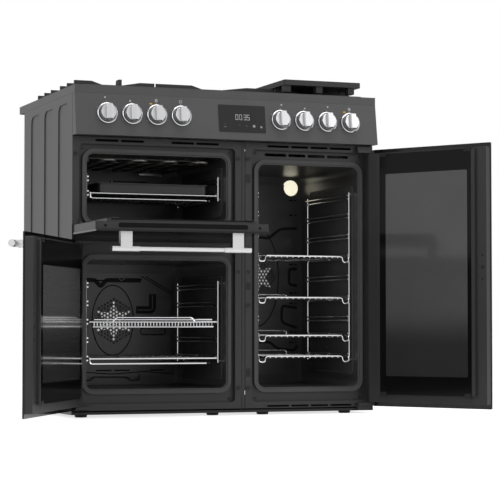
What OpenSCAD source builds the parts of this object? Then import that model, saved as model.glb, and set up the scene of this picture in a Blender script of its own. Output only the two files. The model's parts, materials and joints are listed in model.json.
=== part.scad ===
// Range cooker, 900 mm wide: gas hob with griddle, sloping fascia with eight knobs,
// a drop-door grill oven above a side-opening main oven, and a tall side-opening oven.
// Millimetres. X across (left to right), Y to the back, Z up. Origin on the floor,
// midway across, under the front lip of the hob. The doors are drawn open.

/* [Overall] */
// Width over the side panels and the hob
width = 900; // [880:1:960]
// Height of the hob's rim above the floor
hob_height = 910; // [900:1:930]
// Depth of the hob from its front lip to its back edge
depth = 605; // [590:1:640]
// Width of the left column, which holds the two short ovens
left_column = 495; // [480:1:515]

/* [Sheet metal] */
// Thickness of the front frames and the hob
front_sheet = 1.5; // [1:0.1:2]
// Thickness of the side, back and base sheets
case_sheet = 1.2; // [0.8:0.1:1.5]
// Wall of the enamelled oven liners
liner_wall = 1.2; // [0.8:0.1:1.6]
// Height of the feet under the base
foot_height = 8; // [6:1:20]

/* [Fascia] */
// Height of the sloping control fascia
fascia_height = 116; // [110:1:130]
// How far the fascia's bottom edge stands forward of its top edge
fascia_slope = 17.6; // [10:0.1:22]
// Distance between neighbouring knobs
knob_pitch = 71.4; // [68:0.2:74]
// Distance from the middle of the cooker to the innermost knobs
knob_inner = 149; // [145:1:158]
// How far the knobs' pattern stands to the right of the middle
knob_shift = 3.5; // [0:0.5:6]
// Diameter of a knob's skirt
knob_diameter = 48; // [40:0.5:50]
// How far a knob stands out of its bezel
knob_height = 27; // [20:0.5:32]
// Width of the display glass
display_width = 140; // [120:1:150]
// Height of the display glass
display_height = 78; // [60:1:84]

/* [Ovens] */
// Height of the bar between the openings of the two left ovens
oven_spacing = 107; // [96:1:120]
// Height of the grill oven's opening
grill_oven_height = 184; // [170:1:190]
// Depth of the ovens behind the front flange
oven_depth = 417; // [400:1:425]
// Corner radius of the oven openings
oven_corner = 20; // [16:1:24]
// Depth of the recess that the door panels close into
recess_depth = 14; // [13:0.5:16]

/* [Doors] */
// Thickness of the outer door glass
glass_thickness = 4.5; // [4:0.5:5]
// Depth of the painted door frames
door_frame_depth = 21.5; // [20:0.5:22.5]
// How far the inner glass stands proud of the door frame
pack_height = 8.5; // [7:0.5:9]
// Opening angle of the main oven door as drawn
main_open = 120.5; // [0:0.5:121]
// Opening angle of the tall oven door as drawn
tall_open = 121; // [0:0.5:121]
// Opening angle of the grill oven door as drawn
grill_open = 90; // [0:0.5:90]
// Diameter of the door handles
handle_diameter = 18; // [14:0.5:20]
// Distance from the door glass to a handle's axis
handle_reach = 44; // [38:1:48]

/* [Shelves] */
// Diameter of the frame wires of the shelves and racks
wire = 5; // [4:0.25:5.5]
// Diameter of the thin wires of the shelf grids
grid_wire = 3.4; // [2.5:0.1:4]
// Clear gap between a shelf's side wire and the rungs it slides between
shelf_gap = 0.35; // [0.3:0.05:0.5]

/* [Hob] */
// Height of the pan supports' tops above the hob's rim
support_rise = 26; // [24:1:34]
// Width of a cast bar of the pan supports
cast_bar = 9; // [7:0.5:11]
// Thickness of the griddle plate
griddle_thickness = 15; // [10:1:18]

/* [Hidden] */

// Clearances: between sheets that don't touch, along a running pin, and round a seated piece.
air = 0.3;
running = 0.06;
seat = 0.3;

// Plan positions of the case.
left_x = -width / 2;
right_x = width / 2;
strip_width = 10;
strip_x = left_x + left_column;
tall_x = strip_x + strip_width;
front_y = 20;
flange_y = front_y + recess_depth;
liner_front = flange_y + front_sheet;
liner_back = flange_y + oven_depth;
case_back = depth - 58;

// Heights of the case.
base_z = foot_height;
hob_lip = 22;
fascia_top = hob_height - hob_lip;
fascia_z = fascia_top - fascia_height;
frame_top = fascia_z - 2;
frame_z = base_z + 11;
door_top = fascia_z - 13;
side_door_z = base_z + 12.5;

// Column edges as [left, right], then each oven's opening as [x0, x1, z0, z1].
recess_edge = 19.5;
base_rail = 40;
opening_edge = 43.5;
main_column = [left_x, strip_x];
tall_column = [tall_x, right_x];
opening_z = base_z + 69;
grill_top = door_top - 35;
grill_oven = [left_x + opening_edge, strip_x - opening_edge, grill_top - grill_oven_height, grill_top];
main_oven = [grill_oven[0], grill_oven[1], opening_z, grill_oven[2] - oven_spacing];
tall_oven = [tall_x + opening_edge, right_x - opening_edge, opening_z, door_top - 50];
recess_z = base_z + 29;
recess_top = frame_top - 20;
recess_corner = 12;
seal_band = 13.5;

// Outlines of the three door glasses when shut, as [x0, x1, z0, z1].
grill_glass = [left_x + 2, strip_x - 0.5, grill_oven[2] - 45, door_top];
main_glass = [left_x + 2, strip_x + 1, side_door_z + 0.5, grill_glass[2] - 10.5];
tall_glass = [tall_x - 2, right_x - 2, side_door_z, door_top];

// Door layers from front to back when shut.
door_gap = 4;
frame_back = front_y - door_gap;
frame_front = frame_back - door_frame_depth;
glass_front = frame_front - glass_thickness;
pack_back = frame_back + pack_height;
inner_glass_thickness = 4;
frame_side_inset = 1.5;
frame_end_inset = 12;
pack_side_inset = 34;
side_rim = 11;
pack_top_inset = 17;

// Hinge pins of the side-opening doors, and the blocks that carry them.
pin_r = 3;
pin_inset = 5.5;
pin_y = frame_front + pin_r + 2;
pin_engage = 8;
block_width = 46;
arm_height = 7;
arm_inset = 2.5;

// The drop door turns about a line behind its frame, so its foot swings into a pocket.
drop_pin_y = frame_back + 5;
drop_pin_z = grill_glass[2] + 36;
drop_reach = sqrt(pow(drop_pin_y - glass_front, 2) + pow(36, 2));
pocket_z = drop_pin_z - drop_reach - 1;
pocket_top = drop_pin_z - 4;
pocket_back = drop_pin_y + 36 + 1.5;

// Fascia slope: angle of its face from the vertical, and the point midway up.
slope_angle = atan(fascia_slope / fascia_height);
knob_z = fascia_z + 60.7;

// Baffles in front of the rear walls of the two fan ovens.
baffle_y = liner_back - 12;
baffle_inset = 24;
fan_r = 62;
shaft_r = 4;
hole_pitch = 10.8;
hole_r = 3.5;

// Racks: pairs of rungs on two upright wires against each side wall.
rung_pair = wire * 2 + 2 * shelf_gap + 0.1;
weld = 0.4;
rack_front = flange_y + 22;
rack_back = liner_back - 31;
tall_rack_back = liner_back - 73;
main_rise = main_oven[3] - main_oven[2];
main_levels = [for (i = [0:4]) main_oven[2] + main_rise * (0.236 + 0.1421 * i)];
grill_levels = [grill_oven[2] + 78, grill_oven[2] + 118];
tall_rise = tall_oven[3] - tall_oven[2];
tall_levels = [
    for (share = concat([0.1377, 0.2318], [for (i = [0:5]) 0.3095 + 0.09438 * i], [0.8671]))
        tall_oven[2] + tall_rise * share
];

// The uprights stand off the oven wall, and the rungs are welded to their inner side.
function rack_stand(oven) = oven == tall_oven ? 9.5 : 14;
function rung_offset(oven) = rack_stand(oven) + wire - weld;

// Half the distance between a shelf's side wires, which pass clear of the uprights.
function shelf_half(oven) = (oven[1] - oven[0]) / 2 - rung_offset(oven) - weld - shelf_gap;

// Hob plan: five burners as [x, y, radius of the cap].
grate_width = 234;
grate_x = 301;
grate_gap = 6;
plateau_rise = 4;
plateau_z = hob_height + plateau_rise;
support_top = hob_height + support_rise;
front_burner_y = 191;
back_burner_y = 436.5;
burners = [
    [-grate_x, front_burner_y, 30], [-grate_x, back_burner_y, 34], [0, 306, 52],
    [grate_x, front_burner_y, 30], [grate_x, back_burner_y, 34]
];

// Colours.
graphite = [0.3, 0.3, 0.31];
dark_frame = [0.22, 0.22, 0.22];
enamel = [0.1, 0.1, 0.1];
chrome = [0.8, 0.8, 0.8];
satin = [0.78, 0.78, 0.79];
dark_glass = [0.06, 0.06, 0.07];
iron = [0.13, 0.13, 0.13];

// ---------- shapes that repeat ----------

// A rectangle from (x0, z0) to (x1, z1) with round corners, as a flat shape.
module round_rect(x0, x1, z0, z1, r) {
    translate([x0 + r, z0])
        square([x1 - x0 - 2 * r, z1 - z0]);
    translate([x0, z0 + r])
        square([x1 - x0, z1 - z0 - 2 * r]);
    for (x = [x0 + r, x1 - r], z = [z0 + r, z1 - r])
        translate([x, z])
            circle(r = r, $fn = 48);
}

// Stands a flat shape up in the XZ plane, from y0 back to y1.
module upright(y0, y1) {
    translate([0, y1, 0])
        rotate([90, 0, 0])
            linear_extrude(height = y1 - y0)
                children();
}

// A box given by its lowest and highest corners.
module block(low, high) {
    translate(low)
        cube(high - low);
}

// A round wire or bar between two points on a line along X, Y or Z.
module bar_x(x0, x1, y, z, r) {
    translate([x0, y, z])
        rotate([0, 90, 0])
            cylinder(r = r, h = x1 - x0, $fn = 20);
}

module bar_y(y0, y1, x, z, r) {
    translate([x, y1, z])
        rotate([90, 0, 0])
            cylinder(r = r, h = y1 - y0, $fn = 20);
}

module bar_z(z0, z1, x, y, r) {
    translate([x, y, z0])
        cylinder(r = r, h = z1 - z0, $fn = 20);
}

// A slot with round ends, lying along X.
module slot_x(x0, x1, z, height) {
    r = height / 2;
    translate([x0 + r, z - r])
        square([x1 - x0 - height, height]);
    for (x = [x0 + r, x1 - r])
        translate([x, z])
            circle(r = r, $fn = 24);
}

// A row of equal slots between two margins.
module slot_row(x0, x1, z, height, count, gap) {
    pitch = (x1 - x0 + gap) / count;
    for (i = [0:count - 1])
        slot_x(x0 + i * pitch, x0 + (i + 1) * pitch - gap, z, height);
}

// Places its children, drawn flat with Z outwards, on the sloping fascia at (x, z).
module on_fascia(x, z) {
    y = -fascia_slope * (fascia_top - z) / fascia_height;
    translate([x, y, z])
        rotate([90 - slope_angle, 0, 0])
            children();
}

// Turns its children about each door's hinge line by the drawn opening angle.
module swing_main() {
    translate([main_glass[0] + pin_inset, pin_y, 0])
        rotate([0, 0, -main_open])
            translate([-main_glass[0] - pin_inset, -pin_y, 0])
                children();
}

module swing_tall() {
    translate([tall_glass[1] - pin_inset, pin_y, 0])
        rotate([0, 0, tall_open])
            translate([-tall_glass[1] + pin_inset, -pin_y, 0])
                children();
}

module swing_grill() {
    translate([0, drop_pin_y, drop_pin_z])
        rotate([grill_open, 0, 0])
            translate([0, -drop_pin_y, -drop_pin_z])
                children();
}

// ---------- case ----------

// A bottom tray with turned-up edges, two cross rails and a front channel.
module base_frame() {
    inner = width / 2 - case_sheet - air;
    lip_y = front_y + front_sheet + air;
    color(dark_frame) {
        block([-inner, lip_y, base_z], [inner, case_back - case_sheet - air, base_z + case_sheet]);
        for (s = [-1, 1])
            block(
                [s > 0 ? inner - case_sheet : -inner, lip_y, base_z],
                [s > 0 ? inner : -inner + case_sheet, case_back - case_sheet - air, base_z + base_rail]
            );
        block([-inner, front_y, base_z], [inner, lip_y + case_sheet, base_z + 7]);
        for (y = [lip_y + 60, case_back - 140])
            block([-inner, y, base_z], [inner, y + case_sheet, base_z + 35]);
        block(
            [strip_x, liner_front + air, base_z],
            [tall_x, case_back - 20, base_z + 35]
        );
    }
}

// One side sheet with its three pressed panels and turned-in front and back edges.
module side_sheet() {
    y0 = front_y + front_sheet + air;
    z1 = fascia_top - air;
    press = 3;
    panel = (case_back - y0 - 75) / 3;
    module pressed(grow) {
        for (i = [0:2])
            round_rect(
                y0 + 40 + i * panel - grow, y0 - 5 + (i + 1) * panel + grow,
                base_z + 60 - grow, z1 - 22 + grow, 24 + grow
            );
    }
    module flat_sheet(thick) {
        rotate([90, 0, 90])
            linear_extrude(height = thick)
                children();
    }
    difference() {
        union() {
            flat_sheet(case_sheet)
                translate([y0, base_z])
                    square([case_back - y0, z1 - base_z]);
            flat_sheet(press + case_sheet)
                pressed(case_sheet);
        }
        translate([-1, 0, 0])
            flat_sheet(press + 1)
                pressed(0);
    }
    block([0, y0, base_z + base_rail + air], [14, y0 + case_sheet, pocket_z - 4]);
    block([0, y0, pocket_top + 4], [14, y0 + case_sheet, fascia_z - 4]);
}

module side_panels() {
    color(graphite) {
        translate([left_x, 0, 0])
            side_sheet();
        translate([right_x, 0, 0])
            mirror([1, 0, 0])
                side_sheet();
    }
}

// A back sheet with louvre slots above and below, and two pressed ribs.
module back_panel() {
    x1 = width / 2 - case_sheet - air;
    z0 = base_z + 42;
    z1 = fascia_top - 6;
    y1 = case_back;
    color([0.55, 0.56, 0.57]) {
        difference() {
            union() {
                block([-x1, y1 - case_sheet, z0], [x1, y1, z1]);
                for (x = [-x1 / 3, x1 / 3])
                    block([x - 9, y1 - case_sheet, z0 + 60], [x + 9, y1 + 3, z1 - 120]);
            }
            upright(y1 - 5, y1 + 10)
                for (row = [0:3]) {
                    slot_row(-x1 + 50, x1 - 50, z1 - 30 - row * 18, 6, 8, 14);
                    slot_row(-x1 + 50, x1 - 50, z0 + 25 + row * 8.5, 4, 8, 14);
                }
            for (x = [-x1 / 3, x1 / 3])
                block([x - 9 + case_sheet, y1 - 5, z0 + 60 + case_sheet], [x + 9 - case_sheet, y1 + 3 - case_sheet, z1 - 120 - case_sheet]);
        }
    }
}

// Four vent slots along the top of a front frame, the outer two longer on the right.
module vents(x0, z, height, inner, middle) {
    outer = 67;
    for (slot = [[0, outer], [outer + 6.5, inner]])
        slot_x(x0 + slot[0], x0 + slot[0] + slot[1], z, height);
    x2 = x0 + outer + inner + 6.5 + middle;
    for (slot = [[0, inner], [inner + 6.5, outer]])
        slot_x(x2 + slot[0], x2 + slot[0] + slot[1], z, height);
}

// A pressed front frame: a border, a recess and a flange with the oven openings.
module front_frame(column, openings) {
    x0 = column[0];
    x1 = column[1];
    rx0 = x0 + recess_edge;
    rx1 = x1 - recess_edge;
    difference() {
        union() {
            upright(front_y, front_y + front_sheet)
                translate([x0, frame_z])
                    square([x1 - x0, frame_top - frame_z]);
            upright(front_y, liner_front)
                round_rect(
                    rx0 - front_sheet, rx1 + front_sheet,
                    recess_z - front_sheet, recess_top + front_sheet, recess_corner + front_sheet
                );
        }
        upright(front_y - 1, flange_y)
            round_rect(rx0, rx1, recess_z, recess_top, recess_corner);
        for (o = openings)
            upright(flange_y - 1, liner_front + 1)
                round_rect(o[0], o[1], o[2], o[3], oven_corner);
    }
}

// The left frame has a pocket across it, which the foot of the drop door swings into.
module front_frame_left() {
    x1 = strip_x - air;
    wall_x = left_x + case_sheet + air;
    color(dark_frame) {
        difference() {
            front_frame([left_x, x1], [main_oven, grill_oven]);
            block([left_x - 1, front_y - 1, pocket_z], [x1 + 1, liner_front + 1, pocket_top]);
            upright(front_y - 1, front_y + front_sheet + 1)
                vents(left_x + 65, frame_top - 9.5, 6.5, outer_vent, 80);
        }
        block([wall_x, front_y, pocket_z - case_sheet], [x1, pocket_back + case_sheet, pocket_z]);
        block([wall_x, flange_y, pocket_top], [x1, pocket_back + case_sheet, pocket_top + case_sheet]);
        block([wall_x, pocket_back, pocket_z - case_sheet], [x1, pocket_back + case_sheet, pocket_top + case_sheet]);
    }
}

module front_frame_right() {
    x0 = tall_x + 67;
    color(dark_frame)
        difference() {
            front_frame([tall_x + air, right_x], [tall_oven]);
            upright(front_y - 1, front_y + front_sheet + 1) {
                vents(x0, frame_top - 9.5, 6.5, 53.5, 6.5);
                vents(x0, frame_z + 5.7, 5.5, 53.5, 6.5);
            }
            upright(flange_y - 1, liner_front + 1)
                vents(x0 - 3, recess_top - 12.5, 8.5, 53.5, 6.5);
        }
}

outer_vent = 67;

// The upright channel between the two front frames.
module centre_strip() {
    color(dark_frame)
        difference() {
            block([strip_x + 1.2, front_y, frame_z], [tall_x - 1.2, liner_front, frame_top]);
            block(
                [strip_x + 1.2 + case_sheet, front_y + case_sheet, frame_z - 1],
                [tall_x - 1.2 - case_sheet, liner_front + 1, frame_top + 1]
            );
        }
}

// ---------- ovens ----------

// An enamelled box open at the front, with a rear wall that a fan shaft may pass.
module liner(oven, shaft) {
    difference() {
        upright(liner_front, liner_back + liner_wall)
            round_rect(
                oven[0] - liner_wall, oven[1] + liner_wall,
                oven[2] - liner_wall, oven[3] + liner_wall, oven_corner + liner_wall
            );
        upright(liner_front - 1, liner_back)
            round_rect(oven[0], oven[1], oven[2], oven[3], oven_corner);
        if (shaft)
            translate([fan_x(oven), liner_back - 1, fan_z(oven)])
                rotate([-90, 0, 0])
                    cylinder(r = shaft_r + 2, h = liner_wall + 2, $fn = 32);
    }
}

// A fan sits in the middle of its oven's rear wall.
function fan_x(oven) = (oven[0] + oven[1]) / 2;
function fan_z(oven) = oven[2] + (oven[3] - oven[2]) * (oven == tall_oven ? 0.51 : 0.53);

module grill_liner() {
    color(enamel)
        liner(grill_oven, false);
}

module main_liner() {
    color(enamel)
        liner(main_oven, true);
}

module tall_liner() {
    color(enamel)
        liner(tall_oven, true);
}

// A door seal: a band round the opening, lower on its inner side.
module seal(oven) {
    face = pack_back + seat;
    difference() {
        upright(face, flange_y)
            round_rect(
                oven[0] - seal_band, oven[1] + seal_band,
                oven[2] - seal_band, oven[3] + seal_band, oven_corner + seal_band
            );
        upright(face - 1, flange_y + 1)
            round_rect(oven[0], oven[1], oven[2], oven[3], oven_corner);
        upright(face - 1, face + 3)
            round_rect(oven[0] - 4, oven[1] + 4, oven[2] - 4, oven[3] + 4, oven_corner + 4);
    }
}

// A soft buffer that a door comes to rest on.
module buffer(x, z) {
    bar_y(frame_back + seat, front_y, x, z, 5);
    bar_y(front_y - 1.2, front_y, x, z, 6);
}

module seals_and_buffers() {
    color([0.37, 0.37, 0.37]) {
        seal(grill_oven);
        seal(main_oven);
        seal(tall_oven);
        buffer(left_x + 7.7, grill_top - 2);
        buffer(strip_x - 11, grill_top - 2);
        buffer(strip_x - 11, main_oven[2]);
        for (z = [tall_oven[2], tall_oven[2] + tall_rise * 0.367, grill_top - 2])
            buffer(tall_x + 9, z);
    }
}

// A grill element: a tube folded back and forth under the ceiling, with its end plate.
module grill_element() {
    r = 3.4;
    z = grill_oven[3] - 14;
    legs = 8;
    pitch = (grill_oven[1] - grill_oven[0] - 96) / (legs - 1);
    x0 = grill_oven[0] + 48;
    y0 = flange_y + 30;
    y1 = liner_back - 70;
    color([0.45, 0.44, 0.42]) {
        for (i = [0:legs - 1])
            bar_y(y0, i == 0 || i == legs - 1 ? liner_back : y1, x0 + i * pitch, z, r);
        for (i = [0:legs - 2])
            translate([x0 + (i + 0.5) * pitch, i % 2 == 0 ? y0 : y1, z])
                rotate([0, 0, i % 2 == 0 ? 180 : 0])
                    rotate_extrude(angle = 180, $fn = 32)
                        translate([pitch / 2, 0])
                            circle(r = r, $fn = 16);
        for (y = [y0 + 98, y1 - 30])
            difference() {
                block([x0 - 12, y, z + r - 1], [x0 + (legs - 1) * pitch + 12, y + 12, grill_oven[3]]);
                block([x0 - 4, y - 1, z + r + 0.6], [x0 + (legs - 1) * pitch + 4, y + 13, grill_oven[3] - 1.5]);
            }
    }
}

// A perforated baffle with a turned-back rim and a pressed oval round its holes.
module baffle(oven, tall) {
    cx = fan_x(oven);
    cz = fan_z(oven);
    sheet = 1.2;
    oval_x = tall ? 76 : 66;
    oval_z = tall ? 148 : 108;
    long_row = tall ? 11 : 12;
    side_rows = tall ? 4 : 5;
    module oval(grow) {
        polygon([for (i = [0:59]) [cx + (oval_x + grow) * cos(i * 6), cz + (oval_z + grow) * sin(i * 6)]]);
    }
    difference() {
        upright(baffle_y, liner_back)
            round_rect(oven[0] + baffle_inset, oven[1] - baffle_inset, oven[2] + baffle_inset, oven[3] - baffle_inset, 16);
        upright(baffle_y + sheet, liner_back + 1)
            round_rect(
                oven[0] + baffle_inset + sheet, oven[1] - baffle_inset - sheet,
                oven[2] + baffle_inset + sheet, oven[3] - baffle_inset - sheet, 16 - sheet
            );
        upright(baffle_y - 1, baffle_y + 0.6)
            difference() {
                oval(2);
                oval(-2);
            }
        if (tall)
            translate([lamp_x, baffle_y - 1, lamp_z])
                rotate([-90, 0, 0])
                    cylinder(r = lamp_r + 4, h = 40, $fn = 48);
        for (row = [-side_rows:side_rows]) {
            across = row * hole_pitch * sqrt(3) / 2;
            count = long_row + 1 - abs(row);
            for (i = [0:count - 1]) {
                along = (i - (count - 1) / 2) * hole_pitch;
                translate([cx + (tall ? along : across), baffle_y - 1, cz + (tall ? across : along)])
                    rotate([-90, 0, 0])
                        cylinder(r = hole_r, h = sheet + 2, $fn = 16);
            }
        }
    }
}

module fan_covers() {
    color(enamel) {
        baffle(main_oven, false);
        baffle(tall_oven, true);
    }
}

// A round heating element behind each baffle, its two tails through the rear wall's plate.
module ring_element(oven) {
    r = 2.6;
    translate([fan_x(oven), liner_back - 5.2, fan_z(oven)])
        rotate([90, 0, 0]) {
            rotate_extrude($fn = 64)
                translate([fan_r + 14, 0])
                    circle(r = r, $fn = 16);
            for (a = [102, 78])
                rotate([0, 0, a])
                    translate([fan_r + 14, 0, -5.2])
                        cylinder(r = r - 0.4, h = 5.2, $fn = 16);
        }
}

module ring_elements() {
    color([0.5, 0.49, 0.46]) {
        ring_element(main_oven);
        ring_element(tall_oven);
    }
}

// A motor can behind each rear wall, bored for the fan's shaft, on a four-armed plate.
module fan_motor(oven) {
    translate([fan_x(oven), liner_back + liner_wall, fan_z(oven)])
        rotate([-90, 0, 0])
            difference() {
                union() {
                    cylinder(r = 30, h = 2, $fn = 48);
                    translate([0, 0, 2])
                        cylinder(r = 24, h = 32, $fn = 48);
                    translate([0, 0, 34])
                        cylinder(r = 9, h = 5, $fn = 32);
                    for (a = [0, 90])
                        rotate([0, 0, a])
                            translate([-44, -7, 0])
                                cube([88, 14, 2]);
                }
                translate([0, 0, -1])
                    cylinder(r = shaft_r + running, h = 31, $fn = 32);
            }
}

module fan_motors() {
    color([0.6, 0.6, 0.6]) {
        fan_motor(main_oven);
        fan_motor(tall_oven);
    }
}

// The racks of one oven: uprights at each wall and a pair of rungs for every level.
module oven_racks(oven, levels, y0, y1) {
    low = levels[0] - 14;
    high = levels[len(levels) - 1] + 14;
    for (s = [-1, 1]) {
        wall_x = s < 0 ? oven[0] : oven[1];
        post_x = wall_x - s * rack_stand(oven);
        for (y = [y0, y1]) {
            bar_z(low, high, post_x, y, wire / 2);
            for (z = [low + 5, high - 5])
                bar_x(min(wall_x, post_x), max(wall_x, post_x), y, z, wire / 2 + 0.6);
        }
        for (level = levels, d = [-1, 1])
            bar_y(y0 - 2, y1 + 2, wall_x - s * rung_offset(oven), level + d * rung_pair / 2, wire / 2);
    }
}

module side_racks() {
    color(chrome) {
        oven_racks(grill_oven, grill_levels, rack_front, rack_back);
        oven_racks(main_oven, main_levels, rack_front, rack_back);
        oven_racks(tall_oven, tall_levels, rack_front, tall_rack_back);
    }
}

// The tall oven's lamp, high on the right of its rear wall.
lamp_x = tall_oven[1] - 38.5;
lamp_z = tall_oven[3] - 33;
lamp_r = 21;

// A round lamp glass in its metal ring on a rear wall.
module lamp(x, z, r) {
    translate([x, liner_back, z])
        rotate([90, 0, 0])
            rotate_extrude($fn = 48)
                polygon([[0, 0], [r + 3, 0], [r + 3, 5], [r, 6], [r - 2, 9], [r * 0.6, 12], [0, 13]]);
}

module lamp_lenses() {
    color([0.98, 0.96, 0.86]) {
        lamp(lamp_x, lamp_z, lamp_r);
    }
}

// ---------- controls ----------

// The fascia: a folded sheet whose face leans forward at its foot.
module fascia() {
    back = front_y - air;
    t = front_sheet;
    knobs = knob_centres();
    color(graphite)
        difference() {
            translate([left_x, 0, 0])
                rotate([90, 0, 90])
                    linear_extrude(height = width)
                        polygon([
                            [0, fascia_top - air], [-fascia_slope, fascia_z],
                            [back, fascia_z], [back, fascia_top - air]
                        ]);
            translate([left_x + t, 0, 0])
                rotate([90, 0, 90])
                    linear_extrude(height = width - 2 * t)
                        polygon([
                            [t * 1.02, fascia_top - air - t], [-fascia_slope + t * 1.3, fascia_z + t],
                            [back + 1, fascia_z + t], [back + 1, fascia_top - air - t]
                        ]);
            for (x = knobs)
                on_fascia(x, knob_z)
                    translate([0, 0, -10])
                        cylinder(r = 8, h = 20, $fn = 32);
        }
}

function knob_centres() = [
    for (i = [3:-1:0]) knob_shift - knob_inner - i * knob_pitch,
    for (i = [0:3]) knob_shift + knob_inner + i * knob_pitch
];

module display_glass() {
    color(dark_glass)
        on_fascia(35, fascia_z + 60)
            linear_extrude(height = 1.2)
                round_rect(-display_width / 2, display_width / 2, -display_height / 2, display_height / 2, 2);
}

// A turned ring round each knob.
module knob_bezels() {
    ring_r = knob_diameter / 2 + 6;
    color(chrome)
        for (x = knob_centres())
            on_fascia(x, knob_z)
                rotate_extrude($fn = 64)
                    polygon([
                        [knob_diameter / 2 - 4, 0], [ring_r, 0], [ring_r, 2], [ring_r - 1.2, 5],
                        [ring_r - 3, 6], [ring_r - 4.4, 5], [knob_diameter / 2 + 0.8, 1.6],
                        [knob_diameter / 2 - 4, 1.6]
                    ]);
}

// A knob: a skirt, a domed disc and a broad grip bar across it, on its own stem.
module knob(i) {
    r = knob_diameter / 2;
    disc = knob_height * 0.62;
    color(satin)
        on_fascia(knob_centres()[i], knob_z)
            translate([0, 0, 2.4]) {
                rotate_extrude($fn = 64)
                    polygon([
                        [0, 0], [r - 0.6, 0], [r, 0.8], [r - 0.4, 5], [r - 2.4, disc - 1.2],
                        [r - 3.8, disc], [0, disc]
                    ]);
                difference() {
                    translate([-9, -r + 3.2, disc - 1])
                        cube([18, 2 * r - 6.4, knob_height - disc + 1]);
                    for (s = [-1, 1])
                        translate([s * 9, 0, knob_height])
                            rotate([0, s * 20, 0])
                                translate([-4 + s * 2.2, -r, -4])
                                    cube([8, 2 * r, 14]);
                }
                translate([0, 0, -12.2])
                    cylinder(r = 4, h = 13, $fn = 32);
            }
}

module knob_1() { knob(0); }
module knob_2() { knob(1); }
module knob_3() { knob(2); }
module knob_4() { knob(3); }
module knob_5() { knob(4); }
module knob_6() { knob(5); }
module knob_7() { knob(6); }
module knob_8() { knob(7); }

// Behind the fascia: a gas rail with a tap for each knob, each bored for the knob's stem.
module gas_rail() {
    color([0.7, 0.68, 0.6])
        difference() {
            union() {
                bar_x(left_x + 30, right_x - 30, 30, knob_z + 6, 8);
                for (x = knob_centres())
                    on_fascia(x, knob_z)
                        translate([0, 0, -38])
                            cylinder(r = 11, h = 32, $fn = 32);
            }
            for (x = knob_centres())
                on_fascia(x, knob_z)
                    translate([0, 0, -12])
                        cylinder(r = 4 + running, h = 14, $fn = 32);
        }
}

// ---------- hob ----------

// A pressed hob: a folded rim, a raised plateau and five burner holes.
module hob_tray() {
    t = front_sheet;
    inset = 29;
    color(graphite)
        difference() {
            union() {
                block([left_x, 0, fascia_top], [right_x, depth, hob_height]);
                translate([0, 0, hob_height])
                    linear_extrude(height = plateau_rise)
                        round_rect(left_x + inset, right_x - inset, inset - 10, depth - inset, 18);
            }
            block([left_x + t, t, fascia_top - 1], [right_x - t, depth - t, hob_height - t]);
            translate([0, 0, hob_height - t - 1])
                linear_extrude(height = plateau_rise + 1)
                    round_rect(
                        left_x + inset + t, right_x - inset - t,
                        inset - 10 + t, depth - inset - t, 18 - t
                    );
            for (b = burners)
                translate([b[0], b[1], hob_height - 10])
                    cylinder(r = b[2] * 0.7, h = 20, $fn = 48);
        }
}

// A burner: cup below the hob, skirt on the plateau and a notched crown.
module burner_body(r) {
    difference() {
        union() {
            rotate_extrude($fn = 64)
                polygon([
                    [0, -18], [r * 0.7 - 2, -18], [r * 0.7 - 0.4, -1], [r * 0.7 - 0.4, 0],
                    [r * 1.25, 0], [r * 1.25, 2], [r * 0.95, 5], [r * 0.95, 13], [0, 13]
                ]);
            translate([r * 1.12, r * 0.35, 0])
                cylinder(r = 3, h = 14, $fn = 24);
        }
        for (i = [0:23])
            rotate([0, 0, i * 15])
                translate([r * 0.7, -0.9, 7])
                    cube([r, 1.8, 4]);
        translate([r * 1.12, r * 0.35, 4])
            cylinder(r = 1.4, h = 20, $fn = 24);
    }
}

module burner_bodies() {
    color([0.5, 0.5, 0.5])
        for (b = burners)
            translate([b[0], b[1], plateau_z])
                burner_body(b[2]);
}

module burner_caps() {
    color(iron)
        for (b = burners)
            translate([b[0], b[1], plateau_z + 13])
                rotate_extrude($fn = 64)
                    polygon([[0, 0], [b[2], 0], [b[2] + 1, 1], [b[2] + 1, 3], [b[2] - 2, 5.5], [0, 6]]);
}

// A cast pan support: a low frame on four feet, with stepped fingers that reach in
// from its sides. Its two ends are alike, turned end for end.
module pan_support(cx, w, reach, rows, ends, tongues) {
    b = cast_bar;
    y0 = 62;
    y1 = back_burner_y + front_burner_y - y0;
    low = plateau_z + 1.6;
    mid = support_top - 17.5;
    under = support_top - 15;
    tip = support_top - 11;
    // a finger from the frame towards a burner, flat on top, then sloping down
    module finger(length, flat) {
        rotate([90, 0, 0])
            translate([0, 0, -b / 2])
                linear_extrude(height = b)
                    polygon([
                        [0, low], [0, support_top], [flat, support_top], [length, tip],
                        [length, under + 2], [length - 8, under], [b, under], [b, low]
                    ]);
    }
    difference() {
        block([cx - w / 2, y0, low], [cx + w / 2, y1, mid]);
        block([cx - w / 2 + b, y0 + b, low - 1], [cx + w / 2 - b, y1 - b, mid + 1]);
    }
    for (y = rows, s = [0, 1])
        translate([cx + (s - 0.5) * w, y, 0])
            mirror([s, 0, 0])
                finger(reach, reach * 0.66);
    translate([cx, (y0 + y1) / 2, 0])
        for (turn = [0, 180])
            rotate([0, 0, turn]) {
                for (s = [0, 1])
                    translate([(s - 0.5) * w, side_rows[0] - (y0 + y1) / 2, 0])
                        mirror([s, 0, 0])
                            finger(ends[s][0], ends[s][1]);
                if (tongues)
                    translate([0, (y0 - y1) / 2, 0])
                        rotate([0, 0, 90])
                            finger(30, 25);
            }
    for (x = [cx - w / 2, cx + w / 2 - 14], y = [y0, y1 - 14])
        block([x, y, plateau_z + seat], [x + 14, y + 14, mid]);
}

side_rows = [
    for (c = [front_burner_y, back_burner_y], d = [-73, 0, 73]) c + d
];
inner_rows = [for (i = [1:4]) side_rows[i]];
centre_width = 2 * (grate_x - grate_width / 2 - grate_gap);

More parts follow.
